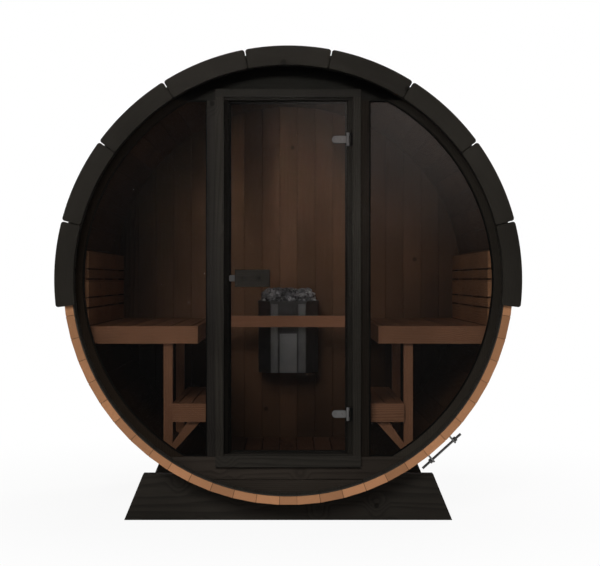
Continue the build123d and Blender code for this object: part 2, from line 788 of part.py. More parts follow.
for side, sign in sides:
    outward = Align.MIN if sign > 0 else Align.MAX

    with BuildPart() as upper_bench:
        board(
            sign * bench_inner,
            sign * bench_outer,
            bench_front,
            bench_front + bench_board,
            bench_bottom,
            bench_height,
        )
        board(
            sign * bench_inner,
            sign * (bench_inner + bench_board),
            bench_front,
            bench_back,
            bench_bottom,
            bench_height,
        )
        for slat in range(bench_slat_count):
            slat_outer = bench_outer - slat * (bench_slat_width + bench_slat_gap)
            board(
                sign * (slat_outer - bench_slat_width),
                sign * slat_outer,
                bench_front,
                bench_back,
                slat_bottom,
                bench_height,
            )
    save(upper_bench.part, f"{side}_upper_bench")

    with BuildPart() as lower_bench:
        for rail in (step_inner, step_outer - step_board):
            board(sign * rail, sign * (rail + step_board), bench_front, step_back, step_bottom, step_height)
        for apron in (bench_front, step_back - step_board):
            board(sign * step_inner, sign * step_outer, apron, apron + step_board, step_bottom, step_height)
        for slat in range(step_slat_count):
            slat_inner = step_inner + step_board + step_slat_gap + slat * (step_slat_width + step_slat_gap)
            board(
                sign * slat_inner,
                sign * (slat_inner + step_slat_width),
                bench_front,
                step_back,
                step_height - step_board,
                step_height,
            )
    save(lower_bench.part, f"{side}_lower_bench")

    with BuildPart() as bench_frames:
        for frame_place in frame_places:
            with BuildSketch(elevation(frame_place + leg_thickness)):
                with Locations((0, axis_height)):
                    Circle(shell_radius)
                with Locations((sign * leg_inner, 0)):
                    Rectangle(leg_width, leg_top, align=(outward, Align.MIN), mode=Mode.INTERSECT)
                with BuildLine():
                    Polyline(
                        (sign * bearer_inner, bench_bottom),
                        (sign * bearer_inner, leg_top),
                        (sign * bench_outer, leg_top),
                        (sign * bench_outer, bench_bottom),
                        close=True,
                    )
                make_face()
                with BuildLine():
                    Polyline(
                        (sign * leg_inner, brace_foot_height - brace_width),
                        (sign * leg_inner, brace_foot_height + brace_width / 2),
                        (sign * (leg_inner - brace_reach + 2 * brace_width), step_bottom - seat_gap),
                        (sign * (leg_inner - brace_reach), step_bottom - seat_gap),
                        close=True,
                    )
                make_face()
                with Locations((0, axis_height)):
                    Circle(shell_radius, mode=Mode.INTERSECT)
            extrude(amount=leg_thickness)
    save(bench_frames.part, f"{side}_bench_frames")

    with BuildPart() as backrest:
        board_bottom = backrest_bottom
        for board_height in backrest_boards:
            board(
                sign * backrest_face,
                sign * backrest_back,
                bench_front,
                bench_back,
                board_bottom,
                board_bottom + board_height,
            )
            board_bottom = board_bottom + board_height + backrest_gap
        for cleat in range(backrest_cleat_count):
            cleat_back = bench_front + backrest_cleat_inset + cleat * cleat_step + backrest_cleat_width / 2
            with BuildSketch(elevation(cleat_back)):
                with Locations((0, axis_height)):
                    Circle(shell_radius)
                with Locations((sign * backrest_back, backrest_bottom)):
                    Rectangle(
                        shell_radius, backrest_height, align=(outward, Align.MIN), mode=Mode.INTERSECT
                    )
            extrude(amount=backrest_cleat_width)
    save(backrest.part, f"{side}_backrest")

# Heater: a steel cabinet with canted front corners on the rear wall, open at the top for a bed of stones
heater_bottom = floor_height + heater_rise
heater_top = heater_bottom + heater_height
heater_back = rear_wall_inside - heater_rim_proud - seat_gap
heater_front = heater_back - heater_depth
heater_outline = (
    (-heater_width / 2, heater_back),
    (-heater_width / 2, heater_front + heater_cant_depth),
    (-heater_front_width / 2, heater_front),
    (heater_front_width / 2, heater_front),
    (heater_width / 2, heater_front + heater_cant_depth),
    (heater_width / 2, heater_back),
)
groove_middle = heater_panel_width / 2 + heater_groove_width / 2
with BuildPart() as heater_body:
    with BuildSketch(Plane.XY.offset(heater_bottom)):
        Polygon(*heater_outline, align=None)
        with Locations((groove_middle, heater_front), (-groove_middle, heater_front)):
            Rectangle(heater_groove_width, 2 * heater_groove_depth, mode=Mode.SUBTRACT)
    extrude(amount=heater_height)
    with BuildSketch(Plane.XY.offset(heater_top - heater_rim_height)):
        Polygon(*heater_outline, align=None)
        offset(amount=heater_rim_proud, kind=Kind.INTERSECTION)
    extrude(amount=heater_rim_height)
    with BuildSketch(Plane.XY.offset(heater_top)):
        Polygon(*heater_outline, align=None)
        offset(amount=-heater_wall, kind=Kind.INTERSECTION)
    extrude(amount=-heater_pocket, mode=Mode.SUBTRACT)
save(heater_body.part, "heater_body")

# Bed of stones: a mound with sloping sides that fills the heater's pocket
with BuildPart() as heater_stones:
    with BuildSketch(Plane.XY.offset(heater_top - heater_pocket)):
        Polygon(*heater_outline, align=None)
        offset(amount=-heater_wall - seat_gap, kind=Kind.INTERSECTION)
    extrude(amount=heater_pocket)
    extrude(heater_stones.faces().sort_by(Axis.Z)[-1], amount=stone_rise, taper=stone_slope_angle)
save(heater_stones.part, "heater_stones")

# Guard rail across the aisle in front of the heater, between the two upper benches
guard_back = heater_front - guard_gap
guard_front = guard_back - guard_thickness
guard_half = bench_inner - seat_gap
guard_top = bench_height + guard_rise
guard_bottom = guard_top - guard_height
with BuildPart() as heater_guard_rail:
    board(-guard_half, guard_half, guard_front, guard_back, guard_bottom, guard_top)
save(heater_guard_rail.part, "heater_guard_rail")
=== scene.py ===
import math

import bmesh
import bpy
import numpy as np
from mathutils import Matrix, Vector


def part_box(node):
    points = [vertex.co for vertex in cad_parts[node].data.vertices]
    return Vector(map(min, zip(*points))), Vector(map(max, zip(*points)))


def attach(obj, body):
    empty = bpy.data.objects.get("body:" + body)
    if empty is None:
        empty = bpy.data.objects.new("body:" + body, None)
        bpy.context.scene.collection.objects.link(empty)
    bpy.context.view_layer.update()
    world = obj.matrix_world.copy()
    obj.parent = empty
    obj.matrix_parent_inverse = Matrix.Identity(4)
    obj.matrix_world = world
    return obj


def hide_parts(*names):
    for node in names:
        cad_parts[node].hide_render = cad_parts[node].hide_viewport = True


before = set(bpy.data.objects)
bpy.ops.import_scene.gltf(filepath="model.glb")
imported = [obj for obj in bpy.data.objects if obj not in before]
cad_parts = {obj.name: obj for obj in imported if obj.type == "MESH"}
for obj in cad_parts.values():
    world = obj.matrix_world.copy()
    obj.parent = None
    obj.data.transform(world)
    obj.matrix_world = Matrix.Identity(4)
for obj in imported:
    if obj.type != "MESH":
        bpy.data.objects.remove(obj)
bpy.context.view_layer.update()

# Cradles: two softwood timbers, sawn hollow to the round of the barrel and laid flat on the ground.
# They carry the same charcoal stain as the roof edge, thin enough for the grain and the knots to show.
cradle_pale, cradle_dark = (0.0184, 0.0162, 0.0133), (0.0113, 0.0101, 0.0085)
stain_rough, stain_gloss = (0.62, 0.8), 0.04
growth_ring, ring_wander, pith_depth = 0.006, 0.075, 0.11
knot_size, knot_reach, knot_pull, knots_per_metre = 0.011, 0.07, 0.016, 5.5
wood_relief = {"strength": 0.35, "depth": 0.0012}


class Field:
    """A value that changes over a surface: an output of a shader node. Arithmetic on it adds nodes."""

    def __init__(self, socket):
        self.socket, self.tree = socket, socket.id_data

    def __add__(self, other):
        return calc("ADD", self, other)

    def __sub__(self, other):
        return calc("SUBTRACT", self, other)

    def __rsub__(self, other):
        return calc("SUBTRACT", other, self)

    def __mul__(self, other):
        return calc("MULTIPLY", self, other)

    def __truediv__(self, other):
        return calc("DIVIDE", self, other)

    def __mod__(self, other):
        return calc("FLOORED_MODULO", self, other)

    def __abs__(self):
        return calc("ABSOLUTE", self)


def plug(value, socket):
    """Link a field to an input, or set the input to a number, a vector or a colour of three parts."""
    if isinstance(value, Field):
        value.tree.links.new(value.socket, socket)
    else:
        socket.default_value = (*value, 1) if socket.type == "RGBA" else value


def put(tree, kind, out=0, settings=None, **inputs):
    """Place a shader node and give one output as a field. Settings are the node's own properties, and an
    input called _6 is number 6 of its row, for nodes whose inputs share a name."""
    node = tree.nodes.new("ShaderNode" + kind)
    for key, value in (settings or {}).items():
        setattr(node, key, value)
    for key, value in inputs.items():
        plug(value, node.inputs[int(key[1:]) if key[0] == "_" else key.replace("_", " ")])
    return Field(node.outputs[out])


def calc(operation, *values):
    """One step of arithmetic on fields and numbers, at least one of them a field."""
    tree = next(value.tree for value in values if isinstance(value, Field))
    inputs = {f"_{number}": value for number, value in enumerate(values)}
    return put(tree, "Math", 0, {"operation": operation}, **inputs)


def ease(value, low, high, to_low=0.0, to_high=1.0):
    """A value carried smoothly from low..high to to_low..to_high, and held outside that range."""
    ends = {"From_Min": low, "From_Max": high, "To_Min": to_low, "To_Max": to_high}
    return put(value.tree, "MapRange", 0, {"interpolation_type": "SMOOTHSTEP"}, Value=value, **ends)


def tint(share, first, second):
    """Two colours mixed by a share from 0 to 1."""
    return put(share.tree, "Mix", 2, {"data_type": "RGBA"}, _0=share, _6=first, _7=second)


def shaded(colour, level):
    """A colour made darker or paler by a level, where 1 leaves it as it is."""
    settings = {"data_type": "RGBA", "blend_type": "MULTIPLY"}
    return put(colour.tree, "Mix", 2, settings, _0=1.0, _6=colour, _7=join(level, level, level))


def noise(place, scale, detail, roughness=0.5):
    """Cloudy noise about 0.5, finer with the scale and the detail."""
    return put(place.tree, "TexNoise", Vector=place, Scale=scale, Detail=detail, Roughness=roughness)


def drawn_out(place, *scale):
    """A place scaled along X, Y and Z, so that a pattern on it is drawn out."""
    return put(place.tree, "Mapping", 0, {"vector_type": "POINT"}, Vector=place, Scale=scale)


def join(x, y, z):
    """A place from its parts, the first of them a field."""
    return put(x.tree, "CombineXYZ", X=x, Y=y, Z=z)


def split(place, kind="SeparateXYZ", label="Vector"):
    """The three parts of a place."""
    first = put(place.tree, kind, **{label: place})
    return [Field(socket) for socket in first.socket.node.outputs]


def length(place):
    """The distance of a place from the origin."""
    return put(place.tree, "VectorMath", "Value", {"operation": "LENGTH"}, Vector=place)


def group(name, inputs, outputs):
    """An empty shader group; gives its tree, its inputs as fields and its end node."""
    tree = bpy.data.node_groups.new(name, "ShaderNodeTree")
    for label, kind in inputs.items():
        tree.interface.new_socket(label, in_out="INPUT", socket_type="NodeSocket" + kind)
    for label in outputs:
        tree.interface.new_socket(label, in_out="OUTPUT", socket_type="NodeSocketFloat")
    inlet = tree.nodes.new("NodeGroupInput")
    return tree, [Field(inlet.outputs[label]) for label in inputs], tree.nodes.new("NodeGroupOutput")


def wood_grain_group():
    """Softwood: growth lines are equal steps of the distance from a far pith, bent by slow noise and round
    the knots; knots are small balls scattered through the wood; fibres are noise drawn out along X."""
    inputs = {"Place": "Vector", "Ring": "Float", "Knot Size": "Float"}
    tree, (place, ring, size), outlet = group("wood_grain", inputs, ("Grain", "Fibre", "Knot"))
    balls = put(tree, "TexVoronoi", "Distance", {"feature": "F1"}, Vector=place, Scale=knots_per_metre)
    reach = balls / knots_per_metre
    x, y, z = split(place)
    slow = noise(drawn_out(place, 0.35, 5.0, 5.0), 1.0, 2.0, 0.45)
    pull = ease(reach, 0.0, knot_reach, knot_pull, 0.0)
    pith = length(join(y, z + pith_depth, 0.0))
    turn = calc("FRACT", (pith + slow * ring_wander + pull) / ring)
    plug(ease(turn, 0.25, 0.85) * ease(turn, 0.88, 1.0, 1.0, 0.0), outlet.inputs["Grain"])
    plug(noise(drawn_out(place, 9.0, 420.0, 420.0), 1.0, 3.0, 0.6), outlet.inputs["Fibre"])
    plug(ease(reach, size, size * 1.35, 1.0, 0.0), outlet.inputs["Knot"])
    return tree


wood_grain = wood_grain_group()


def new_material(name):
    """A material with its Principled shader; gives the material, its tree and the shader."""
    material = bpy.data.materials.new(name)
    material.use_nodes = True
    return material, material.node_tree, material.node_tree.nodes["Principled BSDF"]


def spot(tree):
    """The place on the piece, in metres of the frame."""
    return put(tree, "TexCoord", "Object")


def spot_parts(tree):
    """The parts X, Y and Z of the place on the piece."""
    return dict(zip("XYZ", split(spot(tree))))


def along(tree, order):
    """The place with its parts in a new order, such as ZXY, so that grain runs along the first of them."""
    place = spot_parts(tree)
    return join(*(place[axis] for axis in order))


def finish(parts, colour, rough, height=None, strength=0.0, depth=0.001, gloss=0.5, **others):
    """Feed a material's shader its colour, roughness, gloss and other inputs, with a height as relief."""
    material, tree, shader = parts
    others.update(Base_Color=colour, Roughness=rough, Specular_IOR_Level=gloss)
    if height is not None:
        others["Normal"] = put(tree, "Bump", Height=height, Strength=strength, Distance=depth)
    for key, value in others.items():
        plug(value, shader.inputs[key.replace("_", " ")])
    return material


def wood_look(place, pale, dark, tone, rough):
    """Wood: growth lines mix pale to dark, knots darken it, and fibres and a slow drift vary it. Gives its
    colour, its roughness and the height of its fibres and growth lines."""
    settings = {"node_tree": wood_grain}
    grain = put(place.tree, "Group", 0, settings, Place=place, Ring=growth_ring, Knot_Size=knot_size)
    fibre, knot = (Field(grain.socket.node.outputs[label]) for label in ("Fibre", "Knot"))
    colour = tint(grain * ease(fibre, 0.2, 0.8, 0.55, 1.0), pale, dark)
    colour = tint(ease(fibre, 0.45, 0.75, 0.0, 0.35), colour, dark)
    colour = tint(knot * 0.85, colour, [0.45 * part for part in dark])
    drift = ease(noise(place, 2.2, 2.0), 0.3, 0.7, 0.86, 1.14)
    return shaded(colour, drift * tone), ease(fibre, 0.3, 0.7, *rough), grain * 0.6 + fibre * 0.8


def wood(parts, place, pale, dark, tone=1.0, rough=stain_rough, gloss=stain_gloss):
    """A wood that is raised a little by its fibres and growth lines."""
    return finish(parts, *wood_look(place, pale, dark, tone, rough), **wood_relief, gloss=gloss)


def timber(name, order, pale, dark, tone=None, gloss=stain_gloss):
    """Planed softwood under a stain, dull, with the grain along the first axis of the order. The tone is a
    function of the parts X, Y and Z of the place, for stain that is darker in some places."""
    parts = new_material(name)
    level = tone(spot_parts(parts[1])) if tone else 1.0
    return wood(parts, along(parts[1], order), pale, dark, level, gloss=gloss)


def dress(material, *names):
    """Give a finish to CAD pieces, which keep their shapes."""
    for name in names:
        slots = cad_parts[name].data.materials
        slots.clear()
        slots.append(material)


dress(timber("charcoal_cradle", "XZY", cradle_pale, cradle_dark), "front_cradle", "rear_cradle")

# Staves: sixty planed boards of heat-treated softwood with bevelled edges, drawn together into a barrel.
# Each stave came from another board, so tone and grain change from stave to stave.
# The ends show growth rings, and the last stave, at the bottom, is narrower than the rest.
stave_pale, stave_dark = (0.335, 0.165, 0.085), (0.200, 0.088, 0.040)
end_pale, end_dark = (0.350, 0.170, 0.083), (0.222, 0.100, 0.047)
stave_rough, stave_gloss = (0.55, 0.75), 0.15
# Painted shade on the staves' inner faces: darker inside, and darker still near the floor, more on the left.
inner_face_shade, floor_shade_left, floor_shade_right = 0.36, 0.38, 0.75
wall_low, wall_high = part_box("rear_wall")
axis_height = (wall_low.z + wall_high.z) / 2
stave_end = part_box("top_staves")[1].y
stave_inner, stave_outer, stave_width, stave_count = 0.953, 0.995, 0.104, 59
closing_turn = math.atan2(0.039, stave_outer)
first_joint = closing_turn - math.pi / 2
stave_turn = 2 * (math.pi - closing_turn) / stave_count
rings_per_metre = 210.0


def stave_material():
    """The angle round the axis, counted from the first joint, numbers the stave and gives the place across
    it; grain runs along the barrel, and on the ends rings lie round a pith of each stave's own. Inner faces
    are darker, most of all near the floor and on the left: painted shade. They are stained in front of the
    end walls, and so are the ends under the roof edge, as painted shade in the gaps between its boards. The
    stain is painted darker high up as painted shade and paler lower down as painted light, and the bare ends
    are paler lower down."""
    parts = new_material("heat_treated_staves")
    tree = parts[1]
    place = spot_parts(tree)
    up, depth = place["Z"] - axis_height, abs(place["Y"])
    radius = length(join(place["X"], up, 0.0))
    turns = (calc("ARCTAN2", up, place["X"]) - first_joint) % (2 * math.pi) / stave_turn
    number = calc("FLOOR", turns)
    across = (calc("FRACT", turns) - 0.5) * stave_width
    chance = put(tree, "TexWhiteNoise", "Color", {"noise_dimensions": "1D"}, W=number)
    own = split(chance, "SeparateColor", "Color")
    tone = own[0] * 0.42 + 0.76

    long_place = join(number * 3.7 + place["Y"], number * 1.3 + across, radius)
    colour, rough, height = wood_look(long_place, stave_pale, stave_dark, tone, stave_rough)
    # Painted shade: inner faces darker, most of all near the floor and on the left.
    inside = ease(radius, stave_inner + 0.0045, stave_inner + 0.008, 1.0, 0.0)
    floor_shade_by_side = ease(place["X"], 0.2, 0.75, floor_shade_left * inner_face_shade, floor_shade_right * inner_face_shade)
    low_shade = ease(place["Z"], 0.45, 0.95, floor_shade_by_side, inner_face_shade)
    colour = shaded(colour, inside * (low_shade - 1.0) + 1.0)

    pith = join(across - (own[1] * 0.24 - 0.12), radius - (own[2] * 0.26 + 0.84), 0.0)
    ring = calc("FRACT", (noise(spot(tree), 40.0, 2.0) * 0.004 + length(pith)) * rings_per_metre)
    ring_line = ease(ring, 0.35, 0.9) * ease(ring, 0.9, 1.0, 1.0, 0.0)
    pores = noise(spot(tree), 520.0, 2.0)
    end_colour = tint(ring_line * 0.75, end_pale, end_dark)
    end_colour = tint(ease(pores, 0.45, 0.75, 0.0, 0.45), end_colour, end_dark)
    eased = ease(radius, stave_inner, stave_inner + 0.007, -0.0025, 0.0)
    arris = ease(stave_width / 2 - abs(across) + eased, 0.0, 0.0026, 0.3, 1.0)
    # The bare ends are paler lower down.
    paler_low = ease(up, -1.0, -0.2, 1.15, 0.92)
    end_colour = shaded(end_colour, tone * paler_low * arris)

    end = ease(depth, stave_end - 0.0006, stave_end - 0.0002)
    porch = inside * ease(depth, wall_high.y - 0.002, wall_high.y)
    # Painted shade: the ends under the roof edge take the dark stain, so the gaps between its boards look
    # shaded.
    ends_painted_shade = end * ease(up, -0.105, -0.1)
    # Painted shade and light on the stain: darker high up under the roof edge, paler lower down.
    stain_painted_by_height = shaded(tint(pores, cradle_pale, cradle_dark), ease(up, -0.3, 0.6, 1.6, 0.4))
    colour = tint(end, colour, end_colour)
    colour = tint(calc("MAXIMUM", porch, ends_painted_shade), colour, stain_painted_by_height)
    return finish(parts, colour, rough, height, **wood_relief, gloss=stave_gloss)


stave_groups = ("bottom", "lower_left", "upper_left", "top", "upper_right", "lower_right")
dress(stave_material(), *(name + "_staves" for name in stave_groups))

# Tongues: a thin dark strip stands in each joint between two staves and keeps light and rain out.
# It is as long as the staves and nearly as deep as they are thick.
tongue_pale, tongue_dark, tongue_gloss = (0.030, 0.016, 0.009), (0.016, 0.008, 0.0045), 0.5
tongue_low, tongue_high = stave_inner + 0.0028, stave_outer - 0.0024
tongue_half, tongue_end = 0.000195, stave_end - 0.0008


def skin(name, rings, material, body, slot, smooth=0.6, closed=False, **attributes):
    """Close rows of rings into one mesh. rings is (rows, along, around, xyz): each ring is joined to the
    next of its row by quads; end rings are filled by quads between their first half and their second half
    turned round, or joined to each other if closed. Attributes are a number or a vector for each point."""
    rows, count, around = rings.shape[:3]
    index = np.arange(rows * count * around).reshape(rows, count, around)
    start, ahead = (index, np.roll(index, -1, 1)) if closed else (index[:, :-1], index[:, 1:])
    faces = [np.stack([start, np.roll(start, -1, 2), np.roll(ahead, -1, 2), ahead], -1).reshape(-1, 4)]
    half = around // 2
    for ring in () if closed else (index[:, 0], index[:, -1]):
        near, far = ring[:, :half], ring[:, half:][:, ::-1]
        faces.append(np.stack([near[:, :-1], near[:, 1:], far[:, 1:], far[:, :-1]], -1).reshape(-1, 4))
    mesh = bpy.data.meshes.new(name)
    mesh.from_pydata(rings.reshape(-1, 3).tolist(), [], np.concatenate(faces).tolist())
    for label, values in attributes.items():
        kind, field = ("FLOAT_VECTOR", "vector") if values.shape[-1] == 3 else ("FLOAT", "value")
        data = mesh.attributes.new(label, kind, "POINT").data
        data.foreach_set(field, np.ascontiguousarray(values, float).ravel())
    work = bmesh.new()
    work.from_mesh(mesh)
    bmesh.ops.recalc_face_normals(work, faces=work.faces)
    work.to_mesh(mesh)
    work.free()
    mesh.polygons.foreach_set("use_smooth", np.ones(len(mesh.polygons), bool))
    mesh.set_sharp_from_angle(angle=smooth)
    mesh.materials.append(material)
    piece = bpy.data.objects.new(name, mesh)
    bpy.context.scene.collection.objects.link(piece)
    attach(piece, body)
    return piece


def tongue_strips():
    """One strip for each joint: the corners of its section lie at two radii on the joint's angle, half the
    thickness to either side of it, and the section runs from one end of the staves to the other."""
    angle = (first_joint + stave_turn * np.arange(stave_count + 1))[:, None, None]
    out = np.array([tongue_low, tongue_high, tongue_high, tongue_low])
    side = tongue_half * np.array([-1, -1, 1, 1])
    y = np.array([-tongue_end, tongue_end])[:, None] + 0 * (angle + out)
    x = out * np.cos(angle) - side * np.sin(angle) + 0 * y
    z = axis_height + out * np.sin(angle) + side * np.cos(angle) + 0 * y
    return np.stack([x, y, z], -1)


tongue_wood = timber("dark_tongue", "YXZ", tongue_pale, tongue_dark, gloss=tongue_gloss)
skin("stave_tongues", tongue_strips(), tongue_wood, "shell", "stave_wood")

# Tension bands: satin stainless straps round the staves near both ends, each drawn tight by a threaded rod
# through two lugs, with a washer and a hexagon nut outside each lug.
steel_colour, steel_rough = (0.30, 0.30, 0.295), 0.34
rod_colour, rod_rough = (0.12, 0.118, 0.117), 0.38
rod_angle, rod_shift = math.radians(-47.8), 0.007
rod_length, rod_radius, rod_sides = 0.229, 0.006, 12
thread_pitch, thread_depth, thread_end = 0.0025, 0.0006, 0.001
nut_size = {"start": 0.0685, "height": 0.0105, "radius": 0.0112, "rim": 0.010304, "bevel": 0.0014}
washer_size = {"start": 0.067, "height": 0.0015, "radius": 0.0132, "rim": 0.0125, "bevel": 0.0003}


def brushed_group():
    """Brushed metal: noise drawn out along X as fine scratches, with slow cloudy patches of duller metal."""
    tree, (place,), outlet = group("brushed_metal", {"Place": "Vector"}, ("Scratch", "Dull"))
    plug(noise(drawn_out(place, 25.0, 900.0, 900.0), 1.0, 3.0), outlet.inputs["Scratch"])
    plug(noise(place, 14.0, 3.0), outlet.inputs["Dull"])
    return tree


brushed_metal = brushed_group()


def satin_metal(name, order, colour, rough, metallic=1.0, paint=None):
    """Satin metal: scratches and dull patches vary the colour and the roughness, and scratches lift the
    surface. The paint is a function of the colour, for metal that is painted in some places."""
    parts = new_material(name)
    tree = parts[1]
    scratch = put(tree, "Group", 0, {"node_tree": brushed_metal}, Place=along(tree, order))
    dull = Field(scratch.socket.node.outputs["Dull"])
    shade = ease(scratch, 0.3, 0.75) * ease(dull, 0.3, 0.7, 0.4, 1.0)
    metal = tint(shade, colour, [0.62 * part for part in colour])
    metal = paint(metal) if paint else metal
    rough = ease(dull, 0.25, 0.75, rough, rough + 0.18)
    return finish(parts, metal, rough, scratch, 0.15, 0.0004, Metallic=metallic)


def on_axis(origin, ahead, side, distance, radius, around):
    """Rings about a straight axis: a point is origin + distance * ahead + radius * (cos * side + sin *
    third), with one distance for each ring, and one radius for each ring or for each point of it."""
    turn = np.linspace(0, 2 * np.pi, around, endpoint=False)[:, None]
    radial = np.cos(turn) * side + np.sin(turn) * np.cross(ahead, side)
    return origin + distance[..., None, None] * ahead + radius[..., None] * radial


def lug_pair(start, height, radius, rim, bevel):
    """Distances and radii of two short rings with bevelled rims, one outside each lug."""
    distance = start + np.array([0, bevel, height - bevel, height])
    return np.stack([distance, -distance]), np.array([rim, radius, radius, rim])[:, None]


def band_rod(name, node):
    """A threaded rod with two washers and two nuts. The rod's radius falls by the thread's depth in a saw-
    edge that steps on by one pitch for each turn; washers and nuts are short rings about the same axis."""
    low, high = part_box(node)
    middle = np.array((low + high) / 2)
    ahead = np.array((-math.sin(rod_angle), 0, math.cos(rod_angle)))
    side = np.array((math.cos(rod_angle), 0, math.sin(rod_angle)))
    distance = np.linspace(-rod_length / 2, rod_length / 2, int(6 * rod_length / thread_pitch))
    phase = (distance[:, None] / thread_pitch - np.arange(rod_sides) / rod_sides) % 1
    depth = thread_depth * np.abs(2 * phase - 1)
    depth[np.abs(distance) >= rod_length / 2 - thread_end] = thread_depth
    thread = on_axis(middle, ahead, side, distance, rod_radius - depth, rod_sides)
    rod = skin(name, thread[None], rod_steel, "shell", "steel", smooth=0.9)
    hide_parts(node)
    between_lugs = middle + rod_shift * ahead
    nuts = on_axis(between_lugs, ahead, side, *lug_pair(**nut_size), 6)
    skin(name + "_nuts", nuts, rod_steel, "shell", "steel", smooth=0.3)
    washers = on_axis(between_lugs, ahead, side, *lug_pair(**washer_size), 24)
    skin(name + "_washers", washers, rod_steel, "shell", "steel")


band_steel = satin_metal("satin_band", "YXZ", steel_colour, steel_rough)
rod_steel = satin_metal("zinc_rod", "XYZ", rod_colour, rod_rough)
dress(band_steel, "front_tension_band", "rear_tension_band")
band_rod("front_band_rod", "front_band_bolt")
band_rod("rear_band_rod", "rear_band_bolt")

# Roof covering: bitumen shingles with granules pressed in, eight courses down each side over an underlay.
# Tabs are staggered from course to course, each lower edge lies over the next, and caps close the ridge.
granule_dark, granule_pale, granule_gloss = (0.012, 0.012, 0.013), (0.062, 0.060, 0.058), 0.25
roof_radius, roof_half, roof_end = 0.99838, math.radians(96.0), stave_end - 0.0002
course_count = 8
course_turn = roof_half / course_count
tab_width, tab_slot, tab_least, tab_thickness = 0.159, 0.006, 0.02, 0.0042
tab_head, tab_lap, tab_last_lap, tab_slack = 0.002, 0.011, -0.001, 0.0015
tab_low, tab_rise = 0.0049, 0.0047
underlay_low, underlay_high, underlay_tone = 0.00002, 0.0004, 0.45
cap_pitch, cap_gap, cap_least, cap_turn = 0.1458, 0.001, 0.05, math.radians(6.4)
cap_rise, cap_thickness = 0.0126, 0.004


def carried(tree, name, kind="Fac"):
    """What the points of a piece carry under a name."""
    return put(tree, "Attribute", kind, {"attribute_name": name})


def cells(tree, scale):
    """Small cells: a number of its own for each, and the distance from its middle."""
    own = put(tree, "TexVoronoi", "Color", Vector=spot(tree), Scale=scale)
    return split(own, "SeparateColor", "Color")[0], Field(own.socket.node.outputs["Distance"])


def shingle_material():
    """Granules: fine cells between two dark greys under slow cloudy weathering, with a tone for each tab."""
    parts = new_material("granule_shingle")
    tree = parts[1]
    speck, distance = cells(tree, 620.0)
    cloud = ease(noise(spot(tree), 3.5, 4.0), 0.3, 0.7, 0.78, 1.2)
    colour = shaded(tint(ease(speck, 0.1, 0.95), granule_dark, granule_pale), carried(tree, "tone") * cloud)
    rough = ease(speck, 0.0, 1.0, 0.82, 0.97)
    return finish(parts, colour, rough, 1.0 - distance, 0.5, 0.0015, granule_gloss)


def roof_plates(angles, top, bottom, left, right):
    """Curved plates. The angle runs down the roof, and a ring round the section goes along the top face from
    left to right in y and back along the underside; top and bottom are radii at each angle."""
    width = left[:, None] + np.linspace(0, 1, 3) * (right - left)[:, None]
    y = np.concatenate([width, width[:, ::-1]], 1)[:, None, :].repeat(angles.shape[1], 1)
    radius = np.stack([top, bottom], -1).repeat(3, 2)
    x, z = radius * np.cos(angles)[..., None], axis_height + radius * np.sin(angles)[..., None]
    return np.stack([x, y, z], -1)


def for_points(values, points):
    """One value for each row of rings, repeated for all the points of that row."""
    return np.repeat(values, points.shape[1] * points.shape[2])[:, None]


def shingle_tabs(dice):
    """Tabs side by side along y, shifted by half a tab in every second course. A tab runs from its course's
    upper line to a little past the lower one, and rises on the way to lie over the next course."""
    rows = []
    for side in (-1, 1):
        for course in range(course_count):
            left = np.arange(-roof_end - course % 2 * tab_width / 2, roof_end, tab_width) + tab_slot / 2
            right = np.minimum(left + tab_width - tab_slot, roof_end)
            left = np.maximum(left, -roof_end)
            ends = np.stack([left, right], 1)[right - left > tab_least]
            rows.append(np.concatenate([np.full_like(ends, (side, course)), ends], 1))
    side, course, left, right = np.concatenate(rows).T
    lap = np.where(course < course_count - 1, tab_lap, tab_last_lap)
    lap = lap + dice.uniform(-tab_slack, tab_slack, len(course))
    upper, lower = course * course_turn + tab_head, (course + 1) * course_turn + lap
    share = np.linspace(0, 1, 6)
    angles = math.pi / 2 - side[:, None] * (upper[:, None] + share * (lower - upper)[:, None])
    top = roof_radius + tab_low + tab_rise * share**0.8 + 0 * angles
    points = roof_plates(angles, top, top - tab_thickness, left, right)
    return points, for_points(dice.uniform(0.72, 1.25, len(course)), points)


def roof_underlay():
    """One thin plate that runs over the whole roof."""
    angles = (math.pi / 2 + np.linspace(-roof_half, roof_half, 97))[None]
    flat = roof_radius + 0 * angles
    ends = np.array([-roof_end]), np.array([roof_end])
    points = roof_plates(angles, flat + underlay_high, flat + underlay_low, *ends)
    return points, for_points([underlay_tone], points)


def ridge_caps(dice):
    """Caps side by side along y, each bent over the ridge by the same angle on both sides."""
    left = np.arange(-roof_end, roof_end - cap_least, cap_pitch)
    angles = math.pi / 2 + np.linspace(-1, 1, 9) * cap_turn + np.zeros((len(left), 1))
    top = roof_radius + cap_rise + 0 * angles
    right = np.minimum(left + cap_pitch - cap_gap, roof_end)
    points = roof_plates(angles, top, top - cap_thickness, left + cap_gap, right)
    return points, for_points(dice.uniform(0.75, 1.2, len(left)), points)


roof_dice = np.random.default_rng(11)
granule_shingle = shingle_material()
tab_points, tab_tones = shingle_tabs(roof_dice)
shingles = skin("roof_shingles", tab_points, granule_shingle, "shell", "roof_shingle", 0.5, tone=tab_tones)
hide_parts("roof_cover")
sheet_points, sheet_tones = roof_underlay()
skin("roof_underlay", sheet_points, granule_shingle, "shell", "roof_shingle", tone=sheet_tones)
cap_points, cap_tones = ridge_caps(roof_dice)
skin("roof_ridge_caps", cap_points, granule_shingle, "shell", "roof_shingle", 0.5, tone=cap_tones)

# Roof edge: nine charcoal boards at each end, sawn to the curve from planks and screwed on the stave ends.
# Their edges are eased and the outer corners rounded, with a narrow gap at each joint.
edge_pale, edge_dark = (0.0183, 0.0163, 0.0134), (0.0120, 0.0107, 0.0089)
edge_inner, edge_outer, edge_thickness = 0.946, 1.031, 0.025
edge_count, edge_turn, edge_gap = 9, math.radians(21.55), 0.0038
edge_corner, edge_inner_corner, edge_round = 0.012, 0.008, 0.003


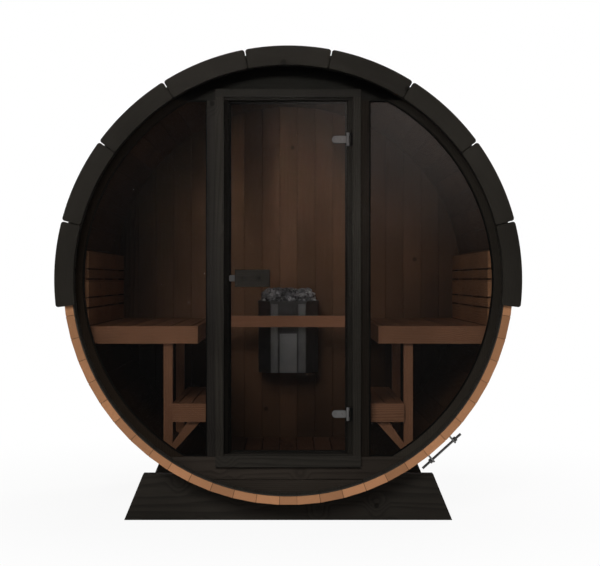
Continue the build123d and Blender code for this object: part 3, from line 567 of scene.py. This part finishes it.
def ring_profile(half_width, half_depth, round_edge, steps=3):
    """Rounded rectangle as pairs (across, depth): four quarter circles of the edge's radius between straight
    sides. The sizes are arrays, and the result has one row of points for each."""
    turn = np.concatenate([np.linspace(0, np.pi / 2, steps) + start * np.pi / 2 for start in (1, 2, 3, 0)])
    sign_across, sign_depth = np.repeat([-1, -1, 1, 1], steps), np.repeat([1, -1, -1, 1], steps)
    across = sign_across * (half_width[:, None] - round_edge) + round_edge * np.cos(turn)
    depth = sign_depth * (half_depth[:, None] - round_edge) + round_edge * np.sin(turn)
    return across, depth


def board_wood(name, pale, dark, shade=None, gloss=stain_gloss):
    """Wood of boards that carry their own grain place and tone as attributes. The shade is a function of the
    parts X, Y and Z of the place, for boards that are darker in some places."""
    parts = new_material(name)
    tree = parts[1]
    tone = carried(tree, "tone")
    tone = tone * shade(spot_parts(tree)) if shade else tone
    return wood(parts, carried(tree, "grain", "Vector"), pale, dark, tone, gloss=gloss)


def roof_edge(name, node, seed):
    """Curved boards: the angle runs along each board, closer spaced at its ends, with a rounded rectangle at
    each angle; near an end the outer radius falls and the inner one rises along a quarter circle."""
    dice = np.random.default_rng(seed)
    middle = (edge_inner + edge_outer) / 2
    half = edge_turn / 2 - edge_gap / 2 / middle
    end = edge_corner * (1 - np.cos(np.linspace(0, np.pi / 2, 6))) / middle
    run = np.sort(np.concatenate([-half + end, np.linspace(-half, half, 18)[1:-1], half - end]))
    to_end = (half - np.abs(run)) * middle
    corners = np.array([[edge_corner], [edge_inner_corner]])
    cut = corners - np.sqrt(np.maximum(0, corners**2 - np.maximum(0, corners - to_end) ** 2))
    outer, inner = edge_outer - cut[0], edge_inner + cut[1]
    across, depth = ring_profile((outer - inner) / 2, np.full(len(run), edge_thickness / 2), edge_round)
    radius = (outer + inner)[:, None] / 2 + across
    number = np.arange(edge_count)
    angle = (np.pi / 2 + edge_turn * (number - number.mean()))[:, None, None] + run[:, None] + 0 * radius
    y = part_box(node)[0].y + edge_thickness / 2 + depth + 0 * angle
    points = np.stack([radius * np.cos(angle), y, axis_height + radius * np.sin(angle)], -1)
    own = number[:, None, None] * 2.31 + dice.uniform(0, 9)
    chord = radius * np.sin(run)[:, None] + own
    rise = radius * np.cos(run)[:, None] - middle + 0.31 * own
    grain = np.stack([chord, rise, depth + 0 * chord], -1).reshape(-1, 3)
    tone = for_points(dice.uniform(0.88, 1.14, edge_count), points)
    piece = skin(name, points, edge_stain, "shell", "dark_stained_wood", grain=grain, tone=tone)
    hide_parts(node)


edge_stain = board_wood("charcoal_roof_edge", edge_pale, edge_dark)
roof_edge("front_roof_edge", "front_roof_fascia", 3)
roof_edge("rear_roof_edge", "rear_roof_fascia", 4)

# Front wall: charcoal boards let into the grooves of the staves: a panel over the door, posts beside it,
# sawn rims round the windows, and two boards under the door that meet in a V joint.
wall_radius = wall_high.x
wall_front, wall_inside = (corner.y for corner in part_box("front_lintel"))
wall_pale, wall_dark = (0.0136, 0.0120, 0.0104), (0.0084, 0.0075, 0.0066)
# The lintel's stain is a darker copy of the wall's: painted shade under the roof edge.
lintel_pale, lintel_dark = (0.0082, 0.0078, 0.0066), (0.0042, 0.0040, 0.0034)
# The right post's stain is a darker, browner copy of the left's: painted shade.
right_pale, right_dark = (0.0095, 0.0074, 0.0056), (0.0060, 0.0047, 0.0037)
# The rims' stains are lit and shaded copies: the right rim's paler as painted light, the left's darker as
# painted shade.
rim_pale, rim_dark = (0.0085, 0.0060, 0.0042), (0.0042, 0.0030, 0.0021)
right_rim_pale, right_rim_dark = (0.0135, 0.0114, 0.0090), (0.0086, 0.0073, 0.0058)
panel_pale, panel_dark = (0.0255, 0.0205, 0.0164), (0.0165, 0.0133, 0.0107)
panel_foot, panel_joint, panel_top = 0.002, 0.1876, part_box("front_bottom_panel")[1].z
edge_shadow_start, edge_shadow_full = 0.893, 0.918
sill_underside, sill_half = 0.246, 0.322
board_bevel, board_joint = 0.003, 0.0004


def from_axis(place, rise=1.0):
    """The distance of a place from the axis of the barrel, with heights counted rise times."""
    return length(join(place["X"], (place["Z"] - axis_height) * rise, 0.0))


def painted_edge_shadow(place):
    """Painted shadow: the stain is painted darkest close under the roof edge, falling with the radius."""
    return ease(from_axis(place), edge_shadow_start, edge_shadow_full, 1.0, 0.10)


def painted_light_low(place):
    """Painted light: the stain is painted paler lower down, where the roof edge does not cover it."""
    return ease(place["Z"], 0.35, 1.05, 2.0, 1.0)


def painted_sill_shadow(place):
    """A thin dark line of painted shadow close under the door sill."""
    below = ease(place["Z"], sill_underside - 0.008, sill_underside, 0.0, 0.85)
    return 1.0 - below * ease(abs(place["X"]), sill_half, sill_half + 0.005, 1.0, 0.0)


def disc_boards(name, edges, front, back, upright, material, slot, seed, tones):
    """Boards across a disc. A ring goes along the front face between a board's two edges, with small bevels
    at the edges, and back along the rear face; the board then runs to both ends of the disc's chord at each
    place across. Each board has a stretch of grain of its own, and a tone drawn between the two given."""
    low, high = edges[:-1, None] + board_joint, edges[1:, None] - board_joint
    face = low + board_bevel + np.linspace(0, 1, 6) * (high - low - 2 * board_bevel)
    across = np.concatenate([low, face, high, high, face[:, ::-1], low], 1)
    level = np.concatenate([[board_bevel], np.zeros(6), [board_bevel]])
    chord = np.sqrt(np.maximum(wall_radius**2 - across**2, 1e-6))
    run = np.linspace(-1, 1, 7)[:, None] * chord[:, None, :]
    across = across[:, None, :] + 0 * run
    depth = np.concatenate([front + level, back - level]) + 0 * run
    x, up = (across, run) if upright else (run, across)
    points = np.stack([x, depth, axis_height + up], -1)
    own = np.arange(len(points))[:, None, None] * 1.73
    grain = np.stack([run + own, across + 0.57 * own, depth], -1).reshape(-1, 3)
    tone = for_points(np.random.default_rng(seed).uniform(*tones, len(points)), points)
    return skin(name, points, material, "shell", slot, grain=grain, tone=tone)


dress(timber("charcoal_lintel", "XZY", lintel_pale, lintel_dark, painted_edge_shadow), "front_lintel")
dress(timber("charcoal_left_post", "ZXY", wall_pale, wall_dark), "left_door_post")
dress(timber("charcoal_right_post", "ZXY", right_pale, right_dark), "right_door_post")
dress(timber("charcoal_left_rim", "ZXY", rim_pale, rim_dark, painted_light_low), "left_window_rim")
dress(timber("charcoal_right_rim", "ZXY", right_rim_pale, right_rim_dark, painted_light_low), "right_window_rim")
panel_edges = np.array([panel_foot - wall_radius, panel_joint - axis_height, panel_top - axis_height])
# Painted shadow under the sill on the bottom boards.
panel_stain = board_wood("charcoal_bottom_boards", panel_pale, panel_dark, painted_sill_shadow)
panel = disc_boards(
    "front_bottom_boards", panel_edges, wall_front, wall_inside, False,
    panel_stain, "dark_stained_wood", 5, (0.9, 1.1),
)
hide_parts("front_bottom_panel")

# Windows: smoke-tinted toughened glass held in a black rubber seal against the posts and the rims.
# The seal is pressed in from the front and lies a little behind the face of the wall.
glass_dark, glass_pale = (0.0045, 0.0044, 0.0043), (0.0068, 0.0067, 0.0066)
glass_gloss, glass_index = 0.8, 1.5
rubber_dark, rubber_pale, rubber_gloss = (0.0025, 0.0024, 0.0022), (0.0045, 0.0043, 0.004), 0.03
post_low, post_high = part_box("right_door_post")
window_radius, post_outer = 0.92, post_high.x
window_bottom, window_top = post_low.z - axis_height, post_high.z - axis_height
seal_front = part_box("left_window_glass")[0].y - 0.0002
seal_inward = np.array([0.0004, 0.005, 0.0075, 0.0075, 0.004, 0.0004])
seal_forward = np.array([0.0, 0.0, 0.002, 0.0035, 0.005, 0.005])


def smoked_glass(name):
    """Tinted glass: each face lets about seven tenths of the light through, and its gloss is smeared."""
    parts = new_material(name)
    smear = noise(spot(parts[1]), 2.4, 5.0, 0.65)
    colour, rough = tint(smear, glass_dark, glass_pale), ease(smear, 0.35, 0.75, 0.03, 0.10)
    cover = ease(smear, 0.2, 0.8, 0.27, 0.30)
    return finish(parts, colour, rough, gloss=glass_gloss, Alpha=cover, IOR=glass_index)


def rubber_material():
    """Black rubber, dull, with a fine mottle."""
    parts = new_material("black_rubber")
    mottle = noise(spot(parts[1]), 90.0, 3.0)
    colour, rough = tint(mottle, rubber_dark, rubber_pale), ease(mottle, 0.3, 0.7, 0.6, 0.8)
    return finish(parts, colour, rough, gloss=rubber_gloss)


def window_seal(name, side):
    """A seal round one window: its outline is an arc of the rim, the post and two level edges; at each point
    of the outline a small section stands inwards along the bisector of the two neighbouring edges."""
    arc = np.linspace(math.asin(window_bottom / window_radius), math.asin(window_top / window_radius), 61)
    rim = window_radius * np.stack([np.cos(arc), np.sin(arc)], 1)
    outline = np.concatenate([rim, [(post_outer, window_top), (post_outer, window_bottom)]])
    after = np.roll(outline, -1, 0) - outline
    after /= np.linalg.norm(after, axis=1)[:, None]
    both = np.roll(after, 1, 0) + after
    inward = np.stack([-both[:, 1], both[:, 0]], 1)
    inward /= np.linalg.norm(inward, axis=1)[:, None]
    square = np.abs(inward[:, 1] * after[:, 0] - inward[:, 0] * after[:, 1])
    inward /= np.maximum(0.3, square)[:, None]
    flat = outline[:, None, :] + seal_inward[:, None] * inward[:, None, :]
    depth = seal_front - seal_forward + 0 * flat[..., 0]
    points = np.stack([side * flat[..., 0], depth, axis_height + flat[..., 1]], -1)
    skin(name, points[None], rubber, "shell", "dark_stained_wood", 0.5, True)


dress(smoked_glass("smoked_window"), "left_window_glass", "right_window_glass")
rubber = rubber_material()
window_seal("left_window_seal", -1)
window_seal("right_window_seal", 1)

# Door frame: a charcoal casing on the face of the wall and a rebated jamb behind it, butt-jointed.
# The uprights stand between the head and the sill, so their grain runs up and that of the others across.
casing_pale, casing_dark = (0.0168, 0.0149, 0.0122), (0.0106, 0.0094, 0.0079)
# The head's stain is a darker copy of the casing's, painted shade under the roof edge, and the sill's a
# paler copy, painted light.
head_pale, head_dark = (0.0132, 0.0119, 0.0101), (0.0084, 0.0077, 0.0066)
sill_pale, sill_dark = (0.0188, 0.0168, 0.0140), (0.0120, 0.0108, 0.0091)
casing_edge, head_edge = 0.2885, 1.8905


def rebated(place):
    """Painted shade in the rebate beside the glass, darkest on the latch side."""
    latch = ease(place["X"], -casing_edge, 0.0005 - casing_edge, 1.0, 0.22)
    hinge = ease(place["X"], casing_edge - 0.0005, casing_edge, 0.68, 1.0)
    right = calc("GREATER_THAN", place["X"], 0.0)
    return right * hinge + (1.0 - right) * latch


def under_head(place):
    """Painted shade in the rebate under the head."""
    return ease(place["Z"], head_edge - 0.001, head_edge, 0.4, 1.0)


casing_stain = timber("charcoal_casing", "ZXY", casing_pale, casing_dark, rebated)
dress(casing_stain, "door_frame_left", "door_frame_right")
dress(timber("charcoal_head", "XZY", head_pale, head_dark, under_head), "door_frame_head")
dress(timber("charcoal_sill", "XZY", sill_pale, sill_dark), "door_frame_sill")

# Door: one sheet of smoked glass on two stainless clamp hinges, with a stained wooden pull on each side.
# The pulls stand off the glass on two bolts with spacers, and a small catch meets the jamb.
hinge_colour, plate_colour, hinge_rough = (0.24, 0.236, 0.233), (0.012, 0.012, 0.012), 0.5
bolt_colour, bolt_rough = (0.035, 0.034, 0.032), 0.4
pull_pale, pull_dark = (0.0145, 0.0126, 0.0104), (0.0092, 0.0080, 0.0066)
plate_edge = 0.2735
screw_places = np.array([(x, -0.795, z) for z in (1.712, 0.483) for x in (0.212, 0.238)])
screw_radius, screw_height = 0.0055, 0.0024


def painted_plate(colour):
    """Black paint on the hinge plates that lie in the jamb, beside the bare knuckles."""
    return tint(ease(spot_parts(colour.tree)["X"], plate_edge, plate_edge + 0.001), colour, plate_colour)


def screw_heads(places):
    """Button heads that look forwards: from the rim the profile climbs a shallow arc to the socket's edge
    and drops into the socket. It is turned about each screw's own axis."""
    climb = np.linspace(0, np.pi / 2, 5)
    rise = screw_height * np.concatenate([[0], np.sin(climb), [0.35, 0.35]])
    out = screw_radius * np.concatenate([[0.9], 0.45 + 0.55 * np.cos(climb), [0.42, 0.02]])
    ahead, side = np.array((0, -1.0, 0)), np.array((0, 0, 1.0))
    return places[:, None, None] + on_axis(0, ahead, side, rise, out[:, None], 18)


dress(smoked_glass("smoked_door"), "door_glass")
hinge_steel = satin_metal("satin_hinge", "XZY", hinge_colour, hinge_rough)
dress(hinge_steel, "door_hinge_clamps", "door_latch")
plate_steel = satin_metal("hinge_plate", "XZY", hinge_colour, hinge_rough, paint=painted_plate)
dress(plate_steel, "frame_hinge_plates")
dress(satin_metal("dark_bolt", "XZY", bolt_colour, bolt_rough), "door_handle_bolts")
dress(timber("charcoal_pull", "XZY", pull_pale, pull_dark), "door_handle_outside", "door_handle_inside")
skin("hinge_screws", screw_heads(screw_places), hinge_steel, "door", "steel", smooth=0.7)

# Rear wall: upright tongued boards in two layers let into the grooves, the outer ones charcoal-stained.
# The lining inside is left bare, and its joints lie half a board away from those of the outer boards.
lining_pale, lining_dark, lining_gloss = (0.34, 0.175, 0.095), (0.20, 0.092, 0.045), 0.1
rear_middle, layer_gap = (wall_low.y + wall_high.y) / 2, 0.0002
board_pitch, first_board, end_board = 0.0974, -0.0469, 0.03
rear_end = wall_radius - 0.004
seat_height, seat_inner = 0.80, 0.36


def painted_lining_shade(place):
    """Painted shade on the lining: darker towards its rim and beside the door, more on the left; darker near
    the floor, more on the right; and darkest under the benches."""
    low_shade = ease(place["Z"], 0.3, 1.6, ease(place["X"], -0.2, 0.2, 0.70, 0.42), 1.0)
    rim = ease(from_axis(place, 0.85), 0.5, 0.92, 1.0, 0.42)
    left, right = ease(place["X"], -0.55, -0.3, 0.62, 1.0), ease(place["X"], -0.1, 0.2, 1.0, 0.9)
    beside = ease(abs(place["X"]), seat_inner, seat_inner + 0.08)
    below = ease(place["Z"], seat_height, seat_height + 0.06, 0.6, 0.0)
    return low_shade * rim * left * right * (1.0 - beside * below)


joints = first_board + board_pitch * np.arange(-9, 11)
joints = joints[np.abs(joints) < wall_radius - end_board]
lining_edges = np.concatenate([[-rear_end], joints, [rear_end]])
outer_edges = np.concatenate([[-rear_end], (joints[:-1] + joints[1:]) / 2, [rear_end]])
outer_stain = board_wood("charcoal_rear_boards", cradle_pale, cradle_dark)
rear_outside = disc_boards(
    "rear_wall_boards", outer_edges, rear_middle + layer_gap, wall_high.y, True,
    outer_stain, "dark_stained_wood", 8, (0.82, 1.2),
)
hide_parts("rear_wall")
lining_wood = board_wood("bare_lining", lining_pale, lining_dark, painted_lining_shade, lining_gloss)
disc_boards(
    "rear_wall_lining", lining_edges, wall_low.y, rear_middle - layer_gap, True,
    lining_wood, "stave_wood", 9, (0.88, 1.08),
)

# Floor and benches: planed heat-treated boards with narrow gaps, screwed to bearers, rails and legs.
# The upper bench and the step have level aprons in front, the legs stand on the staves, and braces lean out.
bench_pale, bench_dark = (0.335, 0.158, 0.084), (0.205, 0.088, 0.042)
# The floor slats' wood is a darker copy of the benches': painted shade on the floor.
floor_pale, floor_dark = (0.165, 0.075, 0.040), (0.100, 0.042, 0.021)
rest_pale, rest_dark = (0.44, 0.214, 0.106), (0.276, 0.124, 0.056)
plank_rough, plank_gloss = (0.5, 0.7), 0.28
slat_pitch, slat_start = 0.09, -0.045
seat_pitch, seat_start, seat_apron = 0.0951, 0.433, -0.672
step_pitch, step_start, step_apron = 0.0614, 0.377, -0.676
leg_pitch, leg_start = 0.3, -0.75
rest_pitch, rest_start = 0.0655, 0.876


def plank_wood(name, order, across, pitch, start, pale=bench_pale, dark=bench_dark, apron=None):
    """Planks side by side: the place across, counted in pitches from a start, numbers the plank, and each
    number has its own tone and stretch of grain. In front of the apron's place grain runs along X."""
    parts = new_material(name)
    tree = parts[1]
    place = spot_parts(tree)
    first, second, third = (place[axis] for axis in order)
    number = calc("FLOOR", (abs(place[across]) - start) / pitch)
    chance = put(tree, "TexWhiteNoise", "Value", {"noise_dimensions": "1D"}, W=number + 0.37)
    tone = chance * 0.3 + 0.85
    grain = join(number * 2.9 + first, number * 0.77 + second, third)
    if apron is not None:
        front = calc("LESS_THAN", place["Y"], apron)
        grain = put(tree, "Mix", 1, {"data_type": "VECTOR"}, _0=front, _4=grain, _5=along(tree, "XZY"))
        tone = tone * (1.0 - front) + front
    return wood(parts, grain, pale, dark, tone, plank_rough, plank_gloss)


slat_wood = plank_wood("floor_slats", "YXZ", "X", slat_pitch, slat_start, floor_pale, floor_dark)
dress(slat_wood, "floor_duckboard")
seat_wood = plank_wood("upper_bench_planks", "YXZ", "X", seat_pitch, seat_start, apron=seat_apron)
dress(seat_wood, "left_upper_bench", "right_upper_bench")
step_wood = plank_wood("step_planks", "YXZ", "X", step_pitch, step_start, apron=step_apron)
dress(step_wood, "left_lower_bench", "right_lower_bench")
leg_wood = plank_wood("leg_timber", "ZXY", "Y", leg_pitch, leg_start)
dress(leg_wood, "left_bench_frames", "right_bench_frames")
rest_wood = plank_wood("backrest_boards", "YZX", "Z", rest_pitch, rest_start, rest_pale, rest_dark)
dress(rest_wood, "left_backrest", "right_backrest")

# Heater: a sheet-steel cabinet with canted corners on the rear wall, a bright front panel and a folded rim.
# Its basket is heaped with split stones, and a plain wooden rail keeps people off it.
cabinet_steel = {"colour": (0.36, 0.36, 0.356), "rough": 0.45, "metallic": 0.95}
panel_steel = {"colour": (0.88, 0.88, 0.875), "rough": 0.36, "metallic": 0.81}
strip_steel = {"colour": (0.62, 0.62, 0.615), "rough": 0.36, "metallic": 0.82}
rail_pale, rail_dark, rail_pitch, rail_start = (0.47, 0.220, 0.120), (0.30, 0.130, 0.066), 0.2, 0.8
stone_dark, stone_pale, fleck_colour = (0.025, 0.024, 0.025), (0.60, 0.58, 0.585), (0.55, 0.54, 0.53)
heater_rim, heater_foot = 0.004, 0.002
heater_low, heater_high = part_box("heater_body")
heater_front, heater_top = heater_low.y + heater_rim, heater_high.z
sheet_low, sheet_proud, sheet_round = heater_low.z + heater_foot, 0.003, 0.0012
panel_spans, panel_height = np.array([(-0.0455, 0.0455)]), heater_low.z + 0.21
strip_spans, strip_height = np.array([(-0.092, -0.0545), (0.0545, 0.092)]), heater_top - 0.016
pile_low, pile_high = (np.array(corner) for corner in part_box("heater_stones"))
pile_low, pile_high = pile_low + (0.0003, 0.0002, 0.001), pile_high - (0.0003, 0.0002, 0.0002)
basket_half, cant_depth = (heater_high.y - heater_low.y) / 2 - heater_rim, 0.15
stone_shift, stone_flat, stone_planes, stone_power = 0.007, (1, 1, 0.7), 11, 9
stone_layers = (
    {"height": heater_top + 0.004, "count": (9, 6), "half": (0.130, 0.086)},
    {"height": heater_top + 0.030, "count": (9, 5), "half": (0.122, 0.078)},
    {"height": heater_top + 0.052, "count": (8, 4), "half": (0.106, 0.060)},
)


def cabinet_strips(name, spans, high, material):
    """Upright sheet strips on the front of the cabinet: a rounded rectangle for each span of x, run up from
    the foot to a height, and standing proud of the front by a little."""
    half = (spans[:, 1] - spans[:, 0]) / 2
    across, depth = ring_profile(half, np.full(len(spans), sheet_proud / 2), sheet_round)
    z = np.linspace(sheet_low, high, 5)[:, None] + 0 * across[:, None, :]
    x = (spans.mean(1)[:, None] + across)[:, None, :] + 0 * z
    y = (heater_front - sheet_proud / 2 + depth)[:, None, :] + 0 * z
    skin(name, np.stack([x, y, z], -1), material, "shell", "heater_steel")


def stone_material():
    """Split stone: grey and black mineral patches with light flecks, and a tone for each stone."""
    parts = new_material("split_stone")
    tree = parts[1]
    patch = noise(spot(tree), 38.0, 6.0, 0.65)
    colour = tint(ease(patch, 0.35, 0.68), stone_dark, stone_pale)
    colour = tint(ease(cells(tree, 260.0)[0], 0.82, 0.98, 0.0, 0.5), colour, fleck_colour)
    colour = shaded(colour, carried(tree, "tone"))
    return finish(parts, colour, ease(patch, 0.3, 0.7, 0.55, 0.85), patch, 0.6, 0.004)


def split_stones(dice):
    """Stones as rounded polyhedra: along a direction d the radius is (sum over planes of (d.n /
    h)^p)^(-1/p), a body cut by flat planes with its edges softened by the power p. Layers give the height
    and the number of stones each way; stones shift a little and keep inside the canted corners."""
    places = []
    for layer in stone_layers:
        x, y = np.meshgrid(*(np.linspace(-half, half, n) for half, n in zip(layer["half"], layer["count"])))
        places.append(np.stack([x, y, np.full_like(x, layer["height"])], -1).reshape(-1, 3))
    places = np.concatenate(places)
    places = places + dice.uniform(-stone_shift, stone_shift, places.shape) * stone_flat
    places[:, 0] *= np.minimum(1, 0.5 + (places[:, 1] + basket_half) / cant_depth)
    count = len(places)
    normals = dice.normal(size=(count, stone_planes, 3))
    normals /= np.linalg.norm(normals, axis=2)[..., None]
    heights = dice.uniform(0.62, 1.0, (count, stone_planes))
    rise, turn = np.linspace(0.02, np.pi - 0.02, 11)[:, None], np.linspace(0, 2 * np.pi, 16, endpoint=False)
    ways = np.stack([np.sin(rise) * np.cos(turn), np.sin(rise) * np.sin(turn), np.cos(rise) + 0 * turn], -1)
    faced = np.maximum(np.einsum("abk,cpk->cabp", ways, normals), 0) / heights[:, None, None, :]
    total = np.maximum(1e-9, (faced**stone_power).sum(-1))
    radius = np.minimum(1.12, total ** (-1 / stone_power))
    size = dice.uniform(0.0165, 0.0225, (count, 1))
    shape = np.stack([dice.uniform(*ends, count) for ends in ((0.9, 1.2), (0.9, 1.15), (0.7, 0.9))], 1)
    points = places[:, None, None] + radius[..., None] * ways * (size * shape)[:, None, None]
    points[..., 1] += (heater_low.y + heater_high.y) / 2
    points = np.clip(points, pile_low, pile_high)
    return points, for_points(dice.uniform(0.40, 1.45, count), points)


dress(satin_metal("dark_cabinet_steel", "ZXY", **cabinet_steel), "heater_body")
rail_wood = plank_wood("guard_rail_wood", "XZY", "Z", rail_pitch, rail_start, rail_pale, rail_dark)
dress(rail_wood, "heater_guard_rail")
bright_sheet = satin_metal("bright_panel_steel", "ZXY", **panel_steel)
cabinet_strips("heater_front_panel", panel_spans, panel_height, bright_sheet)
strip_sheet = satin_metal("strip_steel", "ZXY", **strip_steel)
cabinet_strips("heater_side_strips", strip_spans, strip_height, strip_sheet)
pile_points, pile_tones = split_stones(np.random.default_rng(21))
stone = stone_material()
stones = skin("heater_stone_pile", pile_points, stone, "shell", "heater_stone", 0.45, tone=pile_tones)
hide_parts("heater_stones")

# Stage: a plain pale floor under soft studio light, and a level camera opposite the door as in the photo.
# The world and the floor look white to the camera, in reflections and through glass, and light softly.
# A card in front of the door shows only in reflections.
white = (1, 1, 1)
floor_colour, floor_rough, floor_half = (0.8, 0.8, 0.8), 0.9, 30.0
card_colour, card_strength = (1, 0.88, 0.81), 1.12
card_half, card_y, card_low, card_high = 1.6, -2.5, 0.005, 2.9
world_light = 0.16
camera_distance, camera_lens, camera_sensor = 7.4, 88.6, 36.0
picture_width, picture_right, picture_down = 600, 11.8, 3.5


def seen_share(tree):
    """1 for camera rays, reflections and rays through glass, and 0 for the rays that light the object."""
    kinds = ("Camera", "Glossy", "Transmission")
    camera, glossy, through = (put(tree, "LightPath", f"Is {kind} Ray") for kind in kinds)
    return calc("MAXIMUM", calc("MAXIMUM", camera, glossy), through)


def stage_sheet(name, corners, material, share, first, second):
    """A flat sheet of the stage with four corners, whose material shows one shader or another by a share."""
    shown = put(share.tree, "MixShader", Fac=share, _1=first, _2=second)
    plug(shown, share.tree.nodes["Material Output"].inputs["Surface"])
    mesh = bpy.data.meshes.new(name)
    mesh.from_pydata(corners, [], [(0, 1, 2, 3)])
    mesh.materials.append(material)
    sheet = bpy.data.objects.new(name, mesh)
    bpy.context.scene.collection.objects.link(sheet)


def pale_floor():
    """A dull floor that shows white, a little less so near the object, where its shadow lies."""
    parts = new_material("pale_floor")
    material, tree, shader = parts
    finish(parts, floor_colour, floor_rough, gloss=0.0)
    share = seen_share(tree) * ease(length(spot(tree)), 1.2, 3.2, 0.92, 1.0)
    glow = put(tree, "Emission", Color=white, Strength=1.0)
    corners = [(x * floor_half, y * floor_half, 0) for x, y in ((-1, -1), (1, -1), (1, 1), (-1, 1))]
    stage_sheet("floor", corners, material, share, Field(shader.outputs[0]), glow)


def reflection_card():
    """A card that only reflections see, brighter towards its right and its top."""
    material, tree, unused = new_material("soft_card")
    place = spot_parts(tree)
    level = ease(place["X"], -0.4, 0.75) * ease(place["Z"], 1.1, 2.1, 0.045, 1.0) * card_strength
    glow = put(tree, "Emission", Color=card_colour, Strength=level)
    clear = put(tree, "BsdfTransparent", Color=white)
    sides = ((-card_half, card_low), (card_half, card_low), (card_half, card_high), (-card_half, card_high))
    corners = [(x, card_y, z) for x, z in sides]
    stage_sheet("reflection_card", corners, material, put(tree, "LightPath", "Is Glossy Ray"), clear, glow)


def studio_world():
    """A white world that shows in full and lights the object with a small part of its brightness."""
    world = bpy.data.worlds.new("studio")
    bpy.context.scene.world = world
    world.use_nodes = True
    shader = world.node_tree.nodes["Background"]
    plug(seen_share(world.node_tree) * (1 - world_light) + world_light, shader.inputs["Strength"])
    plug(white, shader.inputs["Color"])


def soft_light(name, place, aim, width, height, power, spread=180):
    """A rectangular lamp that faces a point; a grid before it narrows its spread, in degrees."""
    lamp = bpy.data.lights.new(name, "AREA")
    lamp.shape, lamp.size, lamp.size_y, lamp.energy = "RECTANGLE", width, height, power
    lamp.spread = math.radians(spread)
    light = bpy.data.objects.new(name, lamp)
    light.location = place
    light.rotation_euler = (Vector(aim) - Vector(place)).to_track_quat("-Z", "Y").to_euler()
    light.visible_camera = False
    light.visible_glossy = False
    bpy.context.scene.collection.objects.link(light)


pale_floor()
reflection_card()
studio_world()
soft_light("front_key", (-1.2, -7.4, 3.8), (0, -0.5, 1.1), width=2.4, height=2.4, power=385)
soft_light("front_fill", (-0.9, -8.0, 1.2), (0.02, 0.7, 1.6), width=0.8, height=0.8, power=2.7, spread=14)
soft_light("top_fill", (0.0, 0.5, 6.5), (0, 0.5, 1.0), width=3.0, height=3.0, power=120)
soft_light("rear_fill", (2.5, 6.5, 4.5), (0, 0, 1.0), width=3.0, height=2.4, power=350)

camera_data = bpy.data.cameras.new("camera")
camera_data.lens, camera_data.sensor_width = camera_lens, camera_sensor
camera_data.shift_x, camera_data.shift_y = picture_right / picture_width, -picture_down / picture_width
camera = bpy.data.objects.new("camera", camera_data)
camera.location = (0, -camera_distance, axis_height)
camera.rotation_euler = (math.pi / 2, 0, 0)
bpy.context.scene.collection.objects.link(camera)
bpy.context.scene.camera = camera
bpy.context.scene.view_settings.view_transform = "Standard"
